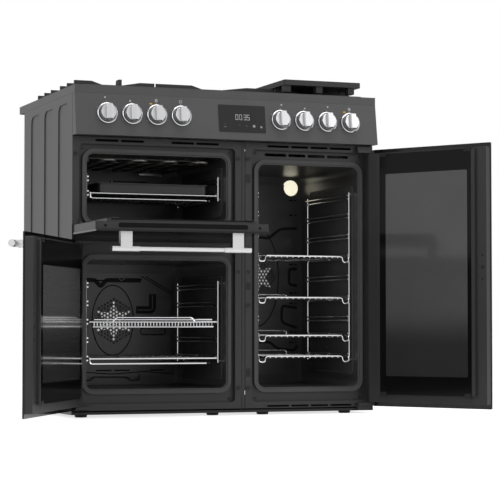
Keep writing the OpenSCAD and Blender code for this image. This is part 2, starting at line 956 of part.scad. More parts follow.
module pan_support_left() {
    color(iron)
        pan_support(-grate_x, grate_width, 80, inner_rows, [[84, 49], [105, 43]], true);
}

module pan_support_centre() {
    color(iron)
        pan_support(0, centre_width, 118, [306], [[141, 106], [170, 84]], false);
}

module pan_support_right() {
    color(iron)
        pan_support(grate_x, grate_width, 80, inner_rows, [[84, 49], [105, 43]], true);
}

// A cast griddle plate with a drip channel round its edge, four feet on the support's
// fingers and three lugs at the front.
module griddle() {
    x0 = centre_width / 2 + 2 * air;
    x1 = grate_x + grate_width / 2 - 1;
    y0 = 28;
    y1 = 470;
    z0 = support_top + 4;
    channel = 8;
    color(iron)
        difference() {
            union() {
                translate([0, 0, z0])
                    linear_extrude(height = griddle_thickness)
                        round_rect(x0, x1, y0, y1, 6);
                for (x = [x0 + 10, x1 - 30], y = [side_rows[0], side_rows[4]])
                    block([x, y - 6, support_top + seat], [x + 20, y + 6, z0]);
                // lugs that hang in front of the support's front bar
                for (x = [x0 + 3, grate_x - 21, x1 - 37])
                    block([x, 34, support_top - 15], [x + 19, 58, z0]);
            }
            translate([0, 0, z0 + griddle_thickness - 4])
                linear_extrude(height = 10)
                    difference() {
                        round_rect(x0 + 8, x1 - 8, y0 + 8, y1 - 8, 5);
                        round_rect(x0 + 8 + channel, x1 - 8 - channel, y0 + 8 + channel, y1 - 8 - channel, 3);
                    }
        }
}

// ---------- feet, hinges and connections ----------

module feet() {
    color([0.1, 0.1, 0.1])
        for (x = [left_x + 38, left_x + 422, tall_x + 68, right_x - 73], y = [60, case_back - 50])
            translate([x, y, 0])
                rotate_extrude($fn = 48)
                    polygon([[0, 0], [15, 0], [17, 2], [17, base_z], [0, base_z]]);
}

// A block behind the glass's overhang at one end of a side-opening door, with its pin.
module end_bracket(glass, top, right) {
    z = top ? glass[3] - arm_inset - arm_height : glass[2] + arm_inset;
    frame_end = top ? glass[3] - frame_end_inset : glass[2] + frame_end_inset;
    s = right ? -1 : 1;
    pin_x = (right ? glass[1] : glass[0]) + s * pin_inset;
    x_out = pin_x - s * 0.5;
    x_in = pin_x + s * block_width;
    block([min(x_out, x_in), pin_y, z], [max(x_out, x_in), front_y, z + arm_height]);
    bar_z(z, z + arm_height, pin_x, pin_y, pin_r + 1.5);
    bar_z(
        top ? frame_end - pin_engage : z,
        top ? z + arm_height : frame_end + pin_engage,
        pin_x, pin_y, pin_r
    );
    if (right)
        block(
            [x_in, front_y - 15, top ? z : base_z + 2],
            [x_out, front_y, top ? frame_top - 2.5 : z + arm_height]
        );
}

// A plate in each lower corner of the grill oven's recess, with the drop door's pin.
module drop_bracket(s) {
    x = s < 0 ? left_x + recess_edge + air : strip_x - air - recess_edge - air;
    x_in = x - s * 3;
    low = min(x, x_in);
    high = max(x, x_in);
    block([low, frame_back + 0.6, drop_pin_z], [high, flange_y, drop_pin_z + 14]);
    block([low, drop_pin_y, pocket_top + 1], [high, flange_y, drop_pin_z + 14]);
    bar_x(low, high, drop_pin_y, drop_pin_z, 4.4);
    bar_x(min(x, x_in - s * 4.5), max(x, x_in - s * 4.5), drop_pin_y, drop_pin_z, pin_r);
}

module hinge_brackets() {
    color([0.3, 0.3, 0.3]) {
        for (top = [true, false]) {
            end_bracket(main_glass, top, false);
            end_bracket(tall_glass, top, true);
        }
        drop_bracket(-1);
        drop_bracket(1);
    }
}

// On the back: a cover over the mains terminals with a cable gland, and the gas inlet's stub.
module terminal_cover() {
    x0 = -330;
    z0 = base_z + 160;
    y0 = case_back;
    color([0.2, 0.2, 0.2]) {
        difference() {
            union() {
                block([x0, y0, z0], [x0 + 120, y0 + 28, z0 + 80]);
                translate([x0 + 60, y0 + 14, z0 - 16])
                    cylinder(r = 12, h = 17, $fn = 32);
            }
            block([x0 + 2, y0 - 1, z0 + 2], [x0 + 118, y0 + 26, z0 + 78]);
            translate([x0 + 60, y0 + 14, z0 - 17])
                cylinder(r = 7, h = 30, $fn = 32);
        }
        translate([right_x - 90, y0, fascia_top - 110])
            rotate([-90, 0, 0]) {
                cylinder(r = 20, h = 3, $fn = 48);
                cylinder(r = 10.4, h = 22, $fn = 48);
            }
    }
}

// ---------- doors, drawn shut and then swung ----------

// A painted case behind the glass, with raised rims each side of the inner glass.
module door_frame(g, foot) {
    inner_x0 = g[0] + pack_side_inset;
    inner_x1 = g[1] - pack_side_inset;
    inner_z0 = g[2] + foot;
    inner_z1 = g[3] - pack_top_inset;
    seat_y = pack_back - inner_glass_thickness;
    difference() {
        union() {
            upright(frame_front, frame_back)
                round_rect(
                    g[0] + frame_side_inset, g[1] - frame_side_inset,
                    g[2] + frame_end_inset, g[3] - frame_end_inset, 4
                );
            upright(frame_back - 1, pack_back)
                round_rect(inner_x0, inner_x1, inner_z0, inner_z1, 3);
        }
        block([inner_x0 + side_rim, seat_y, inner_z0 - 1], [inner_x1 - side_rim, pack_back + 1, inner_z1 + 1]);
        upright(frame_front - 1, pack_back)
            round_rect(inner_x0 + 50, inner_x1 - 50, inner_z0 + 44, inner_z1 - 40, 8);
    }
}

// The frame of a side-opening door, bored at its hinge side for the two pins.
module side_door_frame(g, pin_x) {
    low = g[2] + frame_end_inset;
    high = g[3] - frame_end_inset;
    difference() {
        door_frame(g, 35);
        bar_z(high - pin_engage - air, high + 1, pin_x, pin_y, pin_r + running);
        bar_z(low - 1, low + pin_engage + air, pin_x, pin_y, pin_r + running);
    }
}

// The outer glass: a flat pane over the whole door.
module door_glass(g) {
    upright(glass_front, frame_front)
        round_rect(g[0], g[1], g[2], g[3], 3);
}

// The inner glass, between the raised rims.
module inner_glass(g, foot) {
    upright(pack_back - inner_glass_thickness, pack_back)
        translate([g[0] + pack_side_inset + side_rim, g[2] + foot])
            square([
                g[1] - g[0] - 2 * (pack_side_inset + side_rim), g[3] - g[2] - foot - pack_top_inset
            ]);
}

// A bar handle across a door: a tube, two end sleeves and two flat brackets.
module handle(g) {
    x0 = g[0] + 49.5;
    x1 = g[1] - 49.5;
    y = glass_front - handle_reach;
    z = g[3] - 27;
    sleeve = 77;
    r = handle_diameter / 2;
    bar_x(x0, x1, y, z, r - 1.5);
    bar_x(x0, x0 + sleeve, y, z, r);
    bar_x(x1 - sleeve, x1, y, z, r);
    for (x = [x0 + 39, x1 - 39])
        block([x - 16, y, z - r], [x + 16, glass_front, z + r]);
}

module main_door_frame() {
    color(dark_frame)
        swing_main()
            side_door_frame(main_glass, main_glass[0] + pin_inset);
}

module main_door_glass() {
    color(dark_glass)
        swing_main()
            door_glass(main_glass);
}

module main_door_inner_glass() {
    color(dark_glass)
        swing_main()
            inner_glass(main_glass, 35);
}

module main_door_handle() {
    color(satin)
        swing_main()
            handle(main_glass);
}

module tall_door_frame() {
    color(dark_frame)
        swing_tall()
            side_door_frame(tall_glass, tall_glass[1] - pin_inset);
}

module tall_door_glass() {
    color(dark_glass)
        swing_tall()
            door_glass(tall_glass);
}

module tall_door_inner_glass() {
    color(dark_glass)
        swing_tall()
            inner_glass(tall_glass, 35);
}

module tall_door_handle() {
    color(satin)
        swing_tall()
            handle(tall_glass);
}

// The drop door's frame has two ears behind it, bored for the pins in the recess.
module grill_door_frame() {
    ears = [left_x + recess_edge + air + 3.5, strip_x - air - recess_edge - air - 3.5 - 3.8];
    color(dark_frame)
        swing_grill()
            difference() {
                union() {
                    door_frame(grill_glass, 50);
                    for (x = ears) {
                        bar_x(x, x + 3.8, drop_pin_y, drop_pin_z, 5.4);
                        block([x, frame_back - 1, drop_pin_z - 5.4], [x + 3.8, drop_pin_y, drop_pin_z + 5.4]);
                    }
                }
                for (x = ears)
                    bar_x(x - 1, x + 4.8, drop_pin_y, drop_pin_z, pin_r + running);
            }
}

module grill_door_glass() {
    color(dark_glass)
        swing_grill()
            door_glass(grill_glass);
}

module grill_door_inner_glass() {
    color(dark_glass)
        swing_grill()
            inner_glass(grill_glass, 50);
}

module grill_door_handle() {
    color(satin)
        swing_grill()
            handle(grill_glass);
}

// ---------- what moves inside the ovens ----------

// A fan: a hub, a thin disc and ten blades on a shaft that runs in the motor.
module fan(oven) {
    translate([fan_x(oven), liner_back, fan_z(oven)])
        rotate([90, 0, 0]) {
            translate([0, 0, 1])
                cylinder(r = fan_r, h = 1, $fn = 64);
            translate([0, 0, 1])
                cylinder(r = 12, h = 8.5, $fn = 32);
            for (i = [0:9])
                rotate([0, 0, i * 36])
                    translate([fan_r - 26, -0.6, 1.5])
                        rotate([0, 0, 25])
                            cube([24, 1.2, 7]);
            translate([0, 0, -28])
                cylinder(r = shaft_r, h = 30, $fn = 32);
        }
}

module main_fan() {
    color([0.75, 0.75, 0.75])
        fan(main_oven);
}

module tall_fan() {
    color([0.75, 0.75, 0.75])
        fan(tall_oven);
}

// A wire shelf with its side wires between a pair of rungs.
module shelf_frame(oven, level, y0, y1, bars) {
    rail = shelf_half(oven);
    cx = (oven[0] + oven[1]) / 2;
    z = level;
    for (s = [-1, 1])
        bar_y(y0, y1 + 2, cx + s * rail, z, wire / 2);
    for (y = concat(bars, [y1]))
        bar_x(cx - rail + 0.7, cx + rail - 0.7, y, z, wire / 2 - 0.2);
}

module grid(cx, half, y0, y1, z, count) {
    for (i = [0:count - 1])
        bar_y(y0, y1, cx - half + i * 2 * half / (count - 1), z, grid_wire / 2);
}

// A tall-oven shelf: its front wire dips under each side to clear the rack's upright.
module tall_shelf(level) {
    cx = fan_x(tall_oven);
    y0 = rack_front - 9;
    y1 = tall_rack_back - 10;
    rail = shelf_half(tall_oven);
    straight = rail - 22;
    dip = 16;
    z = level;
    r = wire / 2;
    color(chrome) {
        shelf_frame(tall_oven, level, y0, y1, []);
        bar_x(cx - straight, cx + straight, y0, z, r);
        for (s = [-1, 1]) {
            bar_z(z - dip, z, cx + s * straight, y0, r);
            bar_z(z - dip, z, cx + s * rail, y0, r);
            bar_x(cx + s * (s < 0 ? rail : straight), cx + s * (s < 0 ? straight : rail), y0, z - dip, r);
            for (x = [straight, rail], dz = [-dip, 0])
                translate([cx + s * x, y0, z + dz])
                    sphere(r = r + 0.05, $fn = 20);
        }
        grid(cx, straight - 14, y0, y1, z - 3.4, 13);
        bar_x(cx - rail + 0.7, cx + rail - 0.7, (y0 + y1) / 2, z, r - 0.2);
    }
}

module tall_shelf_1() { tall_shelf(tall_levels[5]); }
module tall_shelf_2() { tall_shelf(tall_levels[3]); }
module tall_shelf_3() { tall_shelf(tall_levels[1]); }
module tall_shelf_4() { tall_shelf(tall_levels[0]); }

// A shelf with a second, lower wire along its front.
module drop_front_shelf(oven, level) {
    cx = fan_x(oven);
    rail = shelf_half(oven);
    y0 = rack_front - 9;
    z = level;
    drop = 15;
    r = wire / 2;
    shelf_frame(oven, level, y0 + 1, rack_back - 10, [y0, (y0 + rack_back) / 2]);
    bar_x(cx - rail + 30, cx + rail - 30, y0, z - drop, r);
    for (s = [-1, 1]) {
        bar_z(z - drop, z, cx + s * (rail - 30), y0, r - 0.3);
        translate([cx + s * (rail - 30), y0, z - drop])
            sphere(r = r + 0.05, $fn = 20);
    }
    grid(cx, rail - 20, y0, rack_back - 10, z, 17);
}

module grill_shelf() {
    color(chrome)
        drop_front_shelf(grill_oven, grill_levels[0]);
}

module main_low_shelf() {
    color(chrome)
        drop_front_shelf(main_oven, main_levels[0]);
}

// A fine shelf: close wires under a double front wire, with a raised grip in its middle.
module main_shelf() {
    cx = fan_x(main_oven);
    rail = shelf_half(main_oven);
    y0 = rack_front - 9;
    z = main_levels[2];
    r = wire / 2;
    grip = 105;
    rise = 12;
    color(chrome) {
        shelf_frame(main_oven, main_levels[2], y0 + 1, rack_back - 10, [y0, (y0 + rack_back) / 2]);
        bar_x(cx - grip, cx + grip, y0, z + rise, r);
        for (s = [-1, 1]) {
            bar_z(z, z + rise, cx + s * grip, y0, r - 0.3);
            translate([cx + s * grip, y0, z + rise])
                sphere(r = r + 0.05, $fn = 20);
        }
        grid(cx, rail - 10, y0, rack_back - 10, z - 3.4, 39);
    }
}

// An enamelled pan that stands on the grill shelf.
module grill_pan() {
    cx = fan_x(grill_oven);
    half = (grill_oven[1] - grill_oven[0]) / 2 - 44;
    y0 = rack_front + 6;
    y1 = rack_back - 50;
    z0 = grill_levels[0] + wire / 2 + seat;
    h = 26;
    color(enamel)
        difference() {
            union() {
                translate([0, 0, z0])
                    linear_extrude(height = h)
                        round_rect(cx - half, cx + half, y0, y1, 14);
                translate([0, 0, z0 + h - 2])
                    linear_extrude(height = 2)
                        round_rect(cx - half - 6, cx + half + 6, y0 - 6, y1 + 6, 18);
            }
            translate([0, 0, z0 + 1.5])
                linear_extrude(height = h)
                    round_rect(cx - half + 1.5, cx + half - 1.5, y0 + 1.5, y1 - 1.5, 12.5);
        }
}

base_frame();
side_panels();
back_panel();
front_frame_left();
front_frame_right();
centre_strip();
grill_liner();
main_liner();
tall_liner();
seals_and_buffers();
grill_element();
fan_covers();
ring_elements();
fan_motors();
side_racks();
lamp_lenses();
fascia();
display_glass();
knob_bezels();
gas_rail();
hob_tray();
burner_bodies();
burner_caps();
feet();
hinge_brackets();
terminal_cover();
main_door_frame();
main_door_glass();
main_door_inner_glass();
main_door_handle();
tall_door_frame();
tall_door_glass();
tall_door_inner_glass();
tall_door_handle();
grill_door_frame();
grill_door_glass();
grill_door_inner_glass();
grill_door_handle();
knob_1();
knob_2();
knob_3();
knob_4();
knob_5();
knob_6();
knob_7();
knob_8();
main_fan();
tall_fan();
grill_shelf();
grill_pan();
main_shelf();
main_low_shelf();
tall_shelf_1();
tall_shelf_2();
tall_shelf_3();
tall_shelf_4();
pan_support_left();
pan_support_centre();
pan_support_right();
griddle();
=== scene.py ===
import json
from math import atan2, cos, pi, radians, sin

import bmesh
import bpy
from mathutils import Matrix, Vector


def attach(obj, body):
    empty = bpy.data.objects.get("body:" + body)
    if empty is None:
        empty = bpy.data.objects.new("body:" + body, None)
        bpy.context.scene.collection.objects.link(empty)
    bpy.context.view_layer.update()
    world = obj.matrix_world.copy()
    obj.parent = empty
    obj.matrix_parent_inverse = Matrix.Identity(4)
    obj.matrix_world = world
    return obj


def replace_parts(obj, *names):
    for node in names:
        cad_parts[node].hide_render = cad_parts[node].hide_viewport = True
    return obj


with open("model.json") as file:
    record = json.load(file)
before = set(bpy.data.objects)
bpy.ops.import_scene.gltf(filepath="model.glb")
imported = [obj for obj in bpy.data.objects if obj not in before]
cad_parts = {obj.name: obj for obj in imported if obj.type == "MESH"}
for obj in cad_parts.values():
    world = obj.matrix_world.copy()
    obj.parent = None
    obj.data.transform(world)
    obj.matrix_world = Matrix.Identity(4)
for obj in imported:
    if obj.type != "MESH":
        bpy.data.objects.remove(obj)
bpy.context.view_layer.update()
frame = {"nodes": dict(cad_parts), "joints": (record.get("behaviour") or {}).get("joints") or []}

scene = bpy.context.scene
nodes_of = frame["nodes"]

# ---------------------------------------------------------------- camera
# The photograph looks slightly up at the cooker from the front left, at
# oven height, through a long lens. The camera stands 5.4 m away.
lens = bpy.data.cameras.new("camera")
lens.sensor_width = 36
lens.lens = 36 * 1923.2 / 500
lens.clip_end = 60
camera = bpy.data.objects.new("camera", lens)
camera.location = (-1.87846, -5.04344, 0.24763)
camera.rotation_euler = (radians(90 + 2.293), 0, radians(-21.046))
scene.collection.objects.link(camera)
scene.camera = camera

# ---------------------------------------------------------------- studio
# A white floor and a white surround, with soft lamps at both sides and
# above. The floor keeps only a faint shadow under the feet.
scene.view_settings.view_transform = "Standard"


def seen_directly(tree):
    """A mask that is 1 for what the camera, a reflection or a glass pane sees."""
    path = tree.nodes.new("ShaderNodeLightPath")
    mask = path.outputs["Is Camera Ray"]
    for ray in ("Is Glossy Ray", "Is Transmission Ray"):
        add = tree.nodes.new("ShaderNodeMath")
        add.operation = "MAXIMUM"
        tree.links.new(mask, add.inputs[0])
        tree.links.new(path.outputs[ray], add.inputs[1])
        mask = add.outputs[0]
    return mask


world = bpy.data.worlds.new("surround")
world.use_nodes = True
scene.world = world
tree = world.node_tree
tree.nodes.clear()
lit = tree.nodes.new("ShaderNodeBackground")
lit.inputs["Color"].default_value = (1, 1, 1, 1)
lit.inputs["Strength"].default_value = 0.42
shown = tree.nodes.new("ShaderNodeBackground")
shown.inputs["Color"].default_value = (1, 1, 1, 1)
shown.inputs["Strength"].default_value = 1.0
mix = tree.nodes.new("ShaderNodeMixShader")
out = tree.nodes.new("ShaderNodeOutputWorld")
tree.links.new(seen_directly(tree), mix.inputs[0])
tree.links.new(lit.outputs[0], mix.inputs[1])
tree.links.new(shown.outputs[0], mix.inputs[2])
tree.links.new(mix.outputs[0], out.inputs[0])

floor_mat = bpy.data.materials.new("studio_floor")
floor_mat.use_nodes = True
tree = floor_mat.node_tree
tree.nodes.clear()
matte = tree.nodes.new("ShaderNodeBsdfDiffuse")
matte.inputs["Color"].default_value = (0.8, 0.8, 0.8, 1)
glow = tree.nodes.new("ShaderNodeEmission")
glow.inputs["Color"].default_value = (1, 1, 1, 1)
glow.inputs["Strength"].default_value = 0.72
both = tree.nodes.new("ShaderNodeAddShader")
pick = tree.nodes.new("ShaderNodeMixShader")
out = tree.nodes.new("ShaderNodeOutputMaterial")
tree.links.new(matte.outputs[0], both.inputs[0])
tree.links.new(glow.outputs[0], both.inputs[1])
tree.links.new(seen_directly(tree), pick.inputs[0])
tree.links.new(matte.outputs[0], pick.inputs[1])
tree.links.new(both.outputs[0], pick.inputs[2])
tree.links.new(pick.outputs[0], out.inputs[0])
bm = bmesh.new()
bmesh.ops.create_grid(bm, x_segments=1, y_segments=1, size=30)
floor_mesh = bpy.data.meshes.new("floor")
bm.to_mesh(floor_mesh)
bm.free()
floor_mesh.materials.append(floor_mat)
floor = bpy.data.objects.new("floor", floor_mesh)
scene.collection.objects.link(floor)


def soft_lamp(name, place, aim, width, height, power):
    light = bpy.data.lights.new(name, "AREA")
    light.shape = "RECTANGLE"
    light.size = width
    light.size_y = height
    light.energy = power
    lamp = bpy.data.objects.new(name, light)
    lamp.location = place
    lamp.rotation_euler = (Vector(aim) - Vector(place)).to_track_quat("-Z", "Y").to_euler()
    scene.collection.objects.link(lamp)


soft_lamp("lamp_left", (-3.2, -2.6, 2.2), (0, 0.2, 0.5), 2.2, 2.2, 24)
soft_lamp("lamp_right", (3.0, -3.2, 2.0), (0, 0.1, 0.5), 2.0, 2.0, 40)
soft_lamp("lamp_above", (0.2, -0.6, 3.4), (0, 0.2, 0.6), 2.6, 2.0, 50)

# ---------------------------------------------------------------- painted case
# The sides, fascia and hob are sheet steel with a satin graphite powder
# coat: a fine, slightly uneven surface with a soft sheen.


def srgb(level, blue=0):
    """A grey written as on screen (0 to 255), with an optional lift of blue."""
    def linear(v):
        v /= 255
        return v / 12.92 if v <= 0.04045 else ((v + 0.055) / 1.055) ** 2.4
    return (linear(level), linear(level), linear(level + blue), 1)


def new_socket(group, name, way, kind, value=None):
    socket = group.interface.new_socket(name=name, in_out=way, socket_type=kind)
    if value is not None:
        socket.default_value = value


# One grain for every coated, cast or moulded surface: cloudy tone, fine speckle, bump.
grain = bpy.data.node_groups.new("fine_grain", "ShaderNodeTree")
new_socket(grain, "Colour", "INPUT", "NodeSocketColor", (0.1, 0.1, 0.1, 1))
new_socket(grain, "Size", "INPUT", "NodeSocketFloat", 900.0)
new_socket(grain, "Tone", "INPUT", "NodeSocketFloat", 0.1)
new_socket(grain, "Rough", "INPUT", "NodeSocketFloat", 0.5)
new_socket(grain, "Rough Spread", "INPUT", "NodeSocketFloat", 0.08)
new_socket(grain, "Relief", "INPUT", "NodeSocketFloat", 0.1)
new_socket(grain, "Colour", "OUTPUT", "NodeSocketColor")
new_socket(grain, "Roughness", "OUTPUT", "NodeSocketFloat")
new_socket(grain, "Normal", "OUTPUT", "NodeSocketVector")
n = grain.nodes
g_in, g_out = n.new("NodeGroupInput"), n.new("NodeGroupOutput")
coord = n.new("ShaderNodeTexCoord")
cloud, fine = n.new("ShaderNodeTexNoise"), n.new("ShaderNodeTexNoise")
cloud.inputs["Scale"].default_value = 9
cloud.inputs["Detail"].default_value = 3
fine.inputs["Detail"].default_value = 2
tone, spread, rough, bump = (n.new(k) for k in (
    "ShaderNodeMixRGB", "ShaderNodeMath", "ShaderNodeMath", "ShaderNodeBump"))
lift = n.new("ShaderNodeMath")
lift.operation = "MULTIPLY"
lift.inputs[1].default_value = 1.0
both = n.new("ShaderNodeMath")
both.operation = "ADD"
shade = n.new("ShaderNodeMapRange")
shade.inputs["From Min"].default_value = 0.6
shade.inputs["From Max"].default_value = 1.4
shade.inputs["To Min"].default_value = 0.75
shade.inputs["To Max"].default_value = 1.25
tone.blend_type = "MULTIPLY"
spread.operation = "MULTIPLY"
rough.operation = "ADD"
bump.inputs["Distance"].default_value = 0.0004
grain.links.new(coord.outputs["Object"], cloud.inputs["Vector"])
grain.links.new(coord.outputs["Object"], fine.inputs["Vector"])
grain.links.new(g_in.outputs["Size"], fine.inputs["Scale"])
grain.links.new(cloud.outputs["Fac"], both.inputs[0])
grain.links.new(fine.outputs["Fac"], both.inputs[1])
grain.links.new(both.outputs[0], shade.inputs["Value"])
grain.links.new(g_in.outputs["Tone"], tone.inputs["Fac"])
grain.links.new(g_in.outputs["Colour"], tone.inputs["Color1"])
grain.links.new(shade.outputs[0], tone.inputs["Color2"])
grain.links.new(cloud.outputs["Fac"], spread.inputs[0])
grain.links.new(g_in.outputs["Rough Spread"], spread.inputs[1])
grain.links.new(g_in.outputs["Rough"], rough.inputs[0])
grain.links.new(spread.outputs[0], rough.inputs[1])
grain.links.new(fine.outputs["Fac"], bump.inputs["Height"])
grain.links.new(g_in.outputs["Relief"], bump.inputs["Strength"])
grain.links.new(tone.outputs[0], g_out.inputs["Colour"])
grain.links.new(rough.outputs[0], g_out.inputs["Roughness"])
grain.links.new(bump.outputs[0], g_out.inputs["Normal"])


def coated(name, colour, rough, metallic=0.0, size=900.0, tone=0.5, relief=0.1, spread=0.06, coat=0.0,
           shine=0.25):
    """A material on the shared grain, for paint, enamel, castings, rubber and plastic."""
    mat = bpy.data.materials.new(name)
    mat.use_nodes = True
    tree = mat.node_tree
    shader = tree.nodes["Principled BSDF"]
    shader.inputs["Metallic"].default_value = metallic
    shader.inputs["Coat Weight"].default_value = coat
    shader.inputs["Specular IOR Level"].default_value = 0.5 if metallic else shine
    shader.inputs["Coat Roughness"].default_value = 0.08
    group = tree.nodes.new("ShaderNodeGroup")
    group.node_tree = grain
    for key, value in (("Colour", colour), ("Size", size), ("Tone", tone), ("Rough", rough),
                       ("Rough Spread", spread), ("Relief", relief)):
        group.inputs[key].default_value = value
    tree.links.new(group.outputs["Colour"], shader.inputs["Base Color"])
    tree.links.new(group.outputs["Roughness"], shader.inputs["Roughness"])
    tree.links.new(group.outputs["Normal"], shader.inputs["Normal"])
    return mat


def dress(mat, *names):
    """Gives CAD nodes their finished material."""
    for name in names:
        obj = nodes_of[name]
        if not obj.material_slots:
            obj.data.materials.append(mat)
        for s in obj.material_slots:
            s.material = mat


graphite = coated("graphite_powder_coat", srgb(78), 0.42, size=1400, relief=0.12)
dress(graphite, "side_panels", "fascia", "hob_tray")

# ---------------------------------------------------------------- front fixings
# Small parts on the front frames: flat screws, catch plates, the latch
# holes and the rivets that hold the flange. All are steel, some blackened.


def block(bm, low, high, edge=0.0):
    """A block between two corners in millimetres, with rounded edges."""
    made = bmesh.ops.create_cube(bm, size=1)["verts"]
    bmesh.ops.scale(bm, vec=[h - l for l, h in zip(low, high)], verts=made)
    bmesh.ops.translate(bm, vec=[(h + l) / 2 for l, h in zip(low, high)], verts=made)
    if edge:
        edges = list({e for v in made for e in v.link_edges})
        bmesh.ops.bevel(bm, geom=edges, offset=edge, segments=2, affect="EDGES", profile=0.5,
                        material=-1)


def disc(bm, centre, radius, depth, place=Matrix(), edge=0.0, sides=24, hole=0.0):
    """A short round bar along local Z, standing on the plane, with a rounded or hollow face."""
    part = bmesh.new()
    bmesh.ops.create_cone(part, cap_ends=True, segments=sides, radius1=radius, radius2=radius, depth=depth)
    bmesh.ops.translate(part, vec=(0, 0, depth / 2), verts=part.verts)
    top = [f for f in part.faces if f.calc_center_median().z > depth * 0.9]
    if edge:
        bmesh.ops.bevel(part, geom=list(top[0].edges), offset=edge, segments=3, affect="EDGES",
                        profile=0.5, material=-1)
        top = [f for f in part.faces if f.calc_center_median().z > depth - 1e-5]
    if hole:
        bmesh.ops.inset_region(part, faces=top, thickness=hole)
        bmesh.ops.translate(part, vec=(0, 0, -depth * 0.6), verts=list({v for f in top for v in f.verts}))
    bmesh.ops.transform(part, matrix=place @ Matrix.Translation(centre), verts=part.verts)
    join(bm, part)


def join(bm, part):
    """Adds a finished part to a piece."""
    mesh = bpy.data.meshes.new("part")
    part.to_mesh(mesh)
    part.free()
    bm.from_mesh(mesh)
    bpy.data.meshes.remove(mesh)


def plate(bm, points, depth, place=Matrix(), corner=0.0, rim=0.0, dip=0.0):
    """A flat plate from its outline, with round corners and, if asked, a pressed middle."""
    part = bmesh.new()
    corners = [part.verts.new((x, y, 0)) for x, y in points]
    part.faces.new(corners)
    if corner:
        bmesh.ops.bevel(part, geom=corners, offset=corner, segments=5, affect="VERTICES",
                        profile=0.5, material=-1)
    grown = bmesh.ops.extrude_face_region(part, geom=list(part.faces))["geom"]
    bmesh.ops.translate(part, vec=(0, 0, depth), verts=[g for g in grown if isinstance(g, bmesh.types.BMVert)])
    top = [g for g in grown if isinstance(g, bmesh.types.BMFace)]
    if rim:
        bmesh.ops.inset_region(part, faces=top, thickness=rim)
        inner = list({v for f in top for v in f.verts})
        bmesh.ops.inset_region(part, faces=top, thickness=abs(dip))
        bmesh.ops.translate(part, vec=(0, 0, -dip), verts=list({v for f in top for v in f.verts}))
    bmesh.ops.transform(part, matrix=place, verts=part.verts)
    join(bm, part)


def oblong(x0, x1, y0, y1):
    return [(x0, y0), (x1, y0), (x1, y1), (x0, y1)]


def facing_front(y):
    """Local X across, local Y up and local Z towards the front, from a plane at that depth."""
    return Matrix(((1, 0, 0, 0), (0, 0, -1, y), (0, 1, 0, 0), (0, 0, 0, 1)))


def wires(bm, runs, radius, closed=False):
    """Round wires through points in millimetres, each run with its bend radius."""
    curve = bpy.data.curves.new("wires", "CURVE")
    curve.dimensions = "3D"
    curve.bevel_depth = radius
    curve.bevel_resolution = 2
    curve.use_fill_caps = True
    for points, bend in runs:
        corners = [Vector(p) for p in points]
        path = []
        for i, p in enumerate(corners):
            if not bend or not closed and i in (0, len(corners) - 1):
                path.append(p)
                continue
            a, b = corners[i - 1] - p, corners[(i + 1) % len(corners)] - p
            reach = min(bend, a.length * 0.48, b.length * 0.48)
            start, end = p + a.normalized() * reach, p + b.normalized() * reach
            path += [start * (1 - t) ** 2 + p * (2 * t * (1 - t)) + end * t ** 2
                     for t in (0, 0.25, 0.5, 0.75, 1)]
        spline = curve.splines.new("POLY")
        spline.points.add(len(path) - 1)
        spline.use_cyclic_u = closed
        for point, p in zip(spline.points, path):
            point.co = (*p, 1)
    carrier = bpy.data.objects.new("wires", curve)
    bm.from_mesh(carrier.to_mesh())
    carrier.to_mesh_clear()
    bpy.data.objects.remove(carrier)
    bpy.data.curves.remove(curve)


def groove(bm, points, width, place, bend=0.0, closed=False, rise=0.4):
    """A pressed line that shows as a flat band along its path on a sheet."""
    part = bmesh.new()
    wires(part, [([(x, y, 0) for x, y in points], bend)], width / 2, closed)
    bmesh.ops.scale(part, vec=(1, 1, rise / (width / 2)), verts=part.verts)
    bmesh.ops.transform(part, matrix=place, verts=part.verts)
    join(bm, part)


def oval(x, y, across, up, steps=64):
    """The outline of an oval from its centre and its half widths."""
    return [(x + across * cos(2 * pi * k / steps), y + up * sin(2 * pi * k / steps)) for k in range(steps)]


def new_piece(name, bm, mat, body, smooth=True):
    """Turns a millimetre mesh into a named piece in metres that rides on a body."""
    bmesh.ops.recalc_face_normals(bm, faces=bm.faces)
    bmesh.ops.scale(bm, vec=(0.001, 0.001, 0.001), verts=bm.verts)
    mesh = bpy.data.meshes.new(name)
    bm.to_mesh(mesh)
    bm.free()
    mesh.materials.append(mat)
    piece = bpy.data.objects.new(name, mesh)
    scene.collection.objects.link(piece)
    if smooth:
        mesh.shade_smooth()
        mesh.set_sharp_from_angle(angle=radians(35))
    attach(piece, body)
    return piece


FRONT, FLANGE, BUFFER_FACE = 20.0, 34.0, 16.3
fixing_black = coated("fixing_black", srgb(26), 0.4, size=600, relief=0.1)
fixing_steel = coated("fixing_steel", (0.35, 0.35, 0.36, 1), 0.35, metallic=0.9, size=400, relief=0.1)
screws = bmesh.new()
for x, z in ((-417.9, 737.8), (11.7, 737.7), (-417.9, 46), (11.7, 46),
             (90, 741), (415, 741), (90, 46), (415, 46)):
    disc(screws, (x, z, 0), 3.6, 1.0, facing_front(FLANGE), hole=1.2)
for z in (654, 400, 148):
    disc(screws, (440.5, z, 0), 3.2, 1.0, facing_front(FRONT), edge=0.7)
new_piece("flange_rivets", screws, fixing_black, "cooker")
# The rubber buffers that the doors shut against have a ringed face.
rings = bmesh.new()
for x, z in ((-442.3, 722), (34, 722), (34, 77), (64, 77), (64, 309), (64, 722)):
    disc(rings, (x, z, 0), 5.6, 0.25, facing_front(BUFFER_FACE), hole=1.6)
new_piece("buffer_faces", rings, fixing_black, "cooker")

